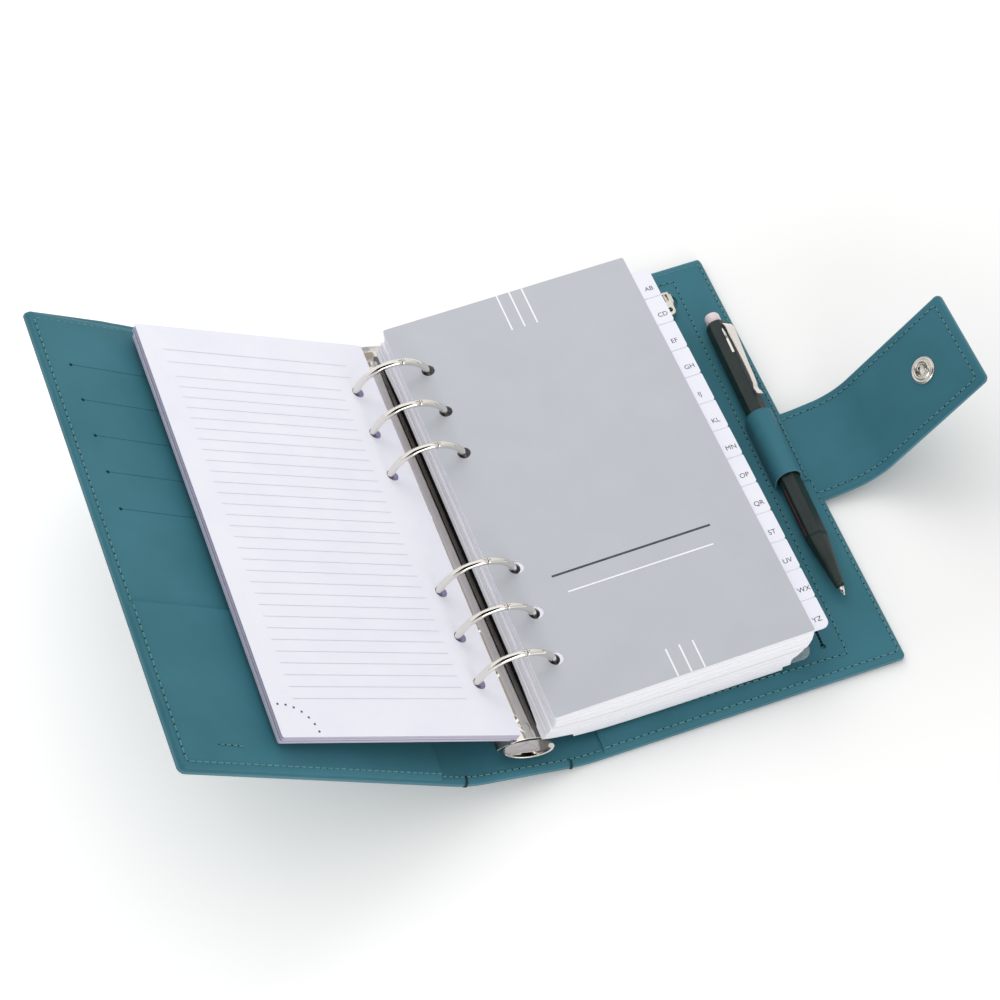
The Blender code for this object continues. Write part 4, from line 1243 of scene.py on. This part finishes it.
# socket: stepped rings round a bore with two spring wires
base = strap["thick"]
steps = [(0, 0.1), (2.6, 0.12), (2.68, 1.15), (2.85, 1.45), (3.1, 1.58), (3.4, 1.5)]
steps += [(3.55, 1.2), (3.7, 0.85), (3.9, 0.75), (4.1, 0.95), (4.35, 1.02), (4.65, 0.85)]
steps += [(4.85, 0.55), (5.0, 0.3), (5.0, 0)]
bm = bmesh.new()
turned(bm, [(radius, base + height) for radius, height in steps], (0, 0), 48)
for start in (20, 200):
    spring = []
    for k in range(13):
        angle = radians(start + 12 * k)
        radius = 2.3 - 0.9 * max(0, k - 8) / 4
        spring.append((radius * cos(angle), radius * sin(angle), base + 0.85))
    sweep(bm, spring, 0.3, 8)
addPiece(bm, "snapSocket", snapMap, [nickelSoft], "strap_tip", ("snap_socket",), None, True)
crown = [(5.5, 0.02), (5.5, 0.35), (5.1, 0.75), (4.2, 1.1), (2.8, 1.4), (1.4, 1.52), (0, 1.55)]
bm = bmesh.new()
turned(bm, [(radius, -base - height) for radius, height in crown], (0, 0), 40)
addPiece(bm, "snapCap", snapMap, [nickelBright], "strap_tip", ("snap_cap",), None, True)
# stud on the outside of the front cover
studX = strap["studInset"] - cover["frontWidth"]
button = [(0, -0.6), (4.0, -0.6), (4.0, -0.85), (3.6, -1.0), (1.8, -1.05), (1.55, -1.3)]
button += [(1.95, -2.0), (1.8, -2.3), (1.3, -2.42), (0, -2.45)]
bm = bmesh.new()
turned(bm, button, (studX, middleY))
hides = ("snap_stud",)
addPiece(bm, "snapStud", rigid(frontPlace), [nickelBright], "front_cover", hides, None, True)
print("strap ready")

# Parts shown as they are packed get the finish of their slot
for name, look, slot in (
    ("zip_tape", tapeDark, "zip_tape"),
    ("left_rail", nickelSoft, "nickel"),
    ("right_rail", nickelSoft, "nickel"),
):
    node = frame["nodes"][name]
    node.data.materials.clear()
    node.data.materials.append(look)

# Floor, soft light and camera
bpy.ops.mesh.primitive_plane_add(size=6, location=(0, 0, -0.0002))
floor = bpy.context.object
floor.name = "studioFloor"
floorLook, tree, shader, coords = startMaterial(
    "paintedSweep", {"Roughness": 0.9, "Specular IOR Level": 0.1}
)
tree.links.new(mottled(tree, coords, 400, "#F7F7F6", "#F9F9F8"), shader.inputs["Base Color"])
seen = addNode(tree, "LightPath")
direct = addNode(
    tree,
    "Math",
    {"operation": "MAXIMUM"},
    {0: seen.outputs["Is Camera Ray"], 1: seen.outputs["Is Glossy Ray"]},
)
through = addNode(
    tree,
    "Math",
    {"operation": "MAXIMUM"},
    {0: direct.outputs["Value"], 1: seen.outputs["Is Transmission Ray"]},
)
# the lift to white fades out towards a spot under the object's right side, which paints a darker halo of
# shade round the object
away = addNode(tree, "VectorMath", {"operation": "DISTANCE", 1: (0.08, 0, 0)}, {0: coords})
far = addNode(
    tree,
    "MapRange",
    {"From Min": 0.08, "From Max": 0.27, "To Min": 0.0, "To Max": 0.24},
    {"Value": away.outputs["Value"]},
)
lift = addNode(
    tree, "Math", {"operation": "MULTIPLY"}, {0: through.outputs["Value"], 1: far.outputs["Result"]}
)
glow = addNode(tree, "Emission", links={"Strength": lift.outputs["Value"]})
mixed = addNode(tree, "AddShader", links={0: shader.outputs["BSDF"], 1: glow.outputs["Emission"]})
tree.links.new(mixed.outputs["Shader"], tree.nodes["Material Output"].inputs["Surface"])
floor.data.materials.append(floorLook)
# tent that is brightest above and behind, and dimmer towards the front
world = bpy.data.worlds.new("tent")
world.use_nodes = True
bpy.context.scene.world = world
tree = world.node_tree
heading = addNode(tree, "TexCoord").outputs["Generated"]
toward = addNode(tree, "VectorMath", {"operation": "DOT_PRODUCT", 1: (0, 0.33, 0.94)}, {0: heading})
sky = addNode(
    tree,
    "MapRange",
    {"From Min": -0.33, "From Max": 1.0, "To Min": 0.4, "To Max": 0.87},
    {"Value": toward.outputs["Value"]},
)
# reflections see the tent a quarter brighter, and the camera sees it white
seen = addNode(tree, "LightPath")
whiter = addNode(
    tree, "Math", {"operation": "MULTIPLY_ADD", 1: 0.25, 2: 1.0}, {0: seen.outputs["Is Glossy Ray"]}
)
tinged = addNode(
    tree, "Math", {"operation": "MULTIPLY"}, {0: sky.outputs["Result"], 1: whiter.outputs["Value"]}
)
shown = addNode(
    tree, "Math", {"operation": "MAXIMUM"}, {0: tinged.outputs["Value"], 1: seen.outputs["Is Camera Ray"]}
)
tree.links.new(shown.outputs["Value"], tree.nodes["Background"].inputs["Strength"])
tree.nodes["Background"].inputs["Color"].default_value = (1, 1, 1, 1)
for name, spot, target, size, power in (
    ("keyLight", (-0.05, 0.55, 0.62), (0, 0, 0), 0.7, 2.4),
    ("frontFill", (0.1, -1.45, 0.45), (0, 0, 0), 0.9, 6.5),
):
    lamp = bpy.data.lights.new(name, "AREA")
    lamp.size = size
    lamp.energy = power
    holder = bpy.data.objects.new(name, lamp)
    holder.location = spot
    holder.rotation_euler = (Vector(target) - Vector(spot)).to_track_quat("-Z", "Y").to_euler()
    holder.visible_glossy = name != "keyLight"
    bpy.context.scene.collection.objects.link(holder)
# grey and black flags that only the polished metal sees
for name, spot, width, length, colour in (
    ("greyFlag", (0.71, 0.6, 0.95), 0.42, 1.3, "#B8B0A6"),
    ("blackFlag", (-0.32, -0.66, 1.13), 1.4, 1.4, "#060606"),
):
    bpy.ops.mesh.primitive_plane_add(size=1, location=spot)
    flag = bpy.context.object
    flag.name = name
    flag.scale = (width, length, 1)
    if name == "blackFlag":
        flag.rotation_euler = Vector(spot).to_track_quat("Z", "Y").to_euler()
    felt = startMaterial(name + "Felt", {"Base Color": linear(colour), "Roughness": 1.0})[0]
    flag.data.materials.append(felt)
    flag.visible_camera = flag.visible_diffuse = False
    flag.visible_shadow = flag.visible_transmission = False
camera = bpy.data.cameras.new("camera")
camera.lens = 95.594
camera.sensor_width = 36
camera.clip_end = 20
eye = bpy.data.objects.new("camera", camera)
eye.location = (-0.22947, -0.46966, 0.80289)
eye.rotation_euler = Vector((0.1887, 0.5104, -0.8391)).to_track_quat("-Z", "Y").to_euler()
bpy.context.scene.collection.objects.link(eye)
bpy.context.scene.camera = eye
bpy.context.scene.view_settings.view_transform = "Standard"
print("scene ready")
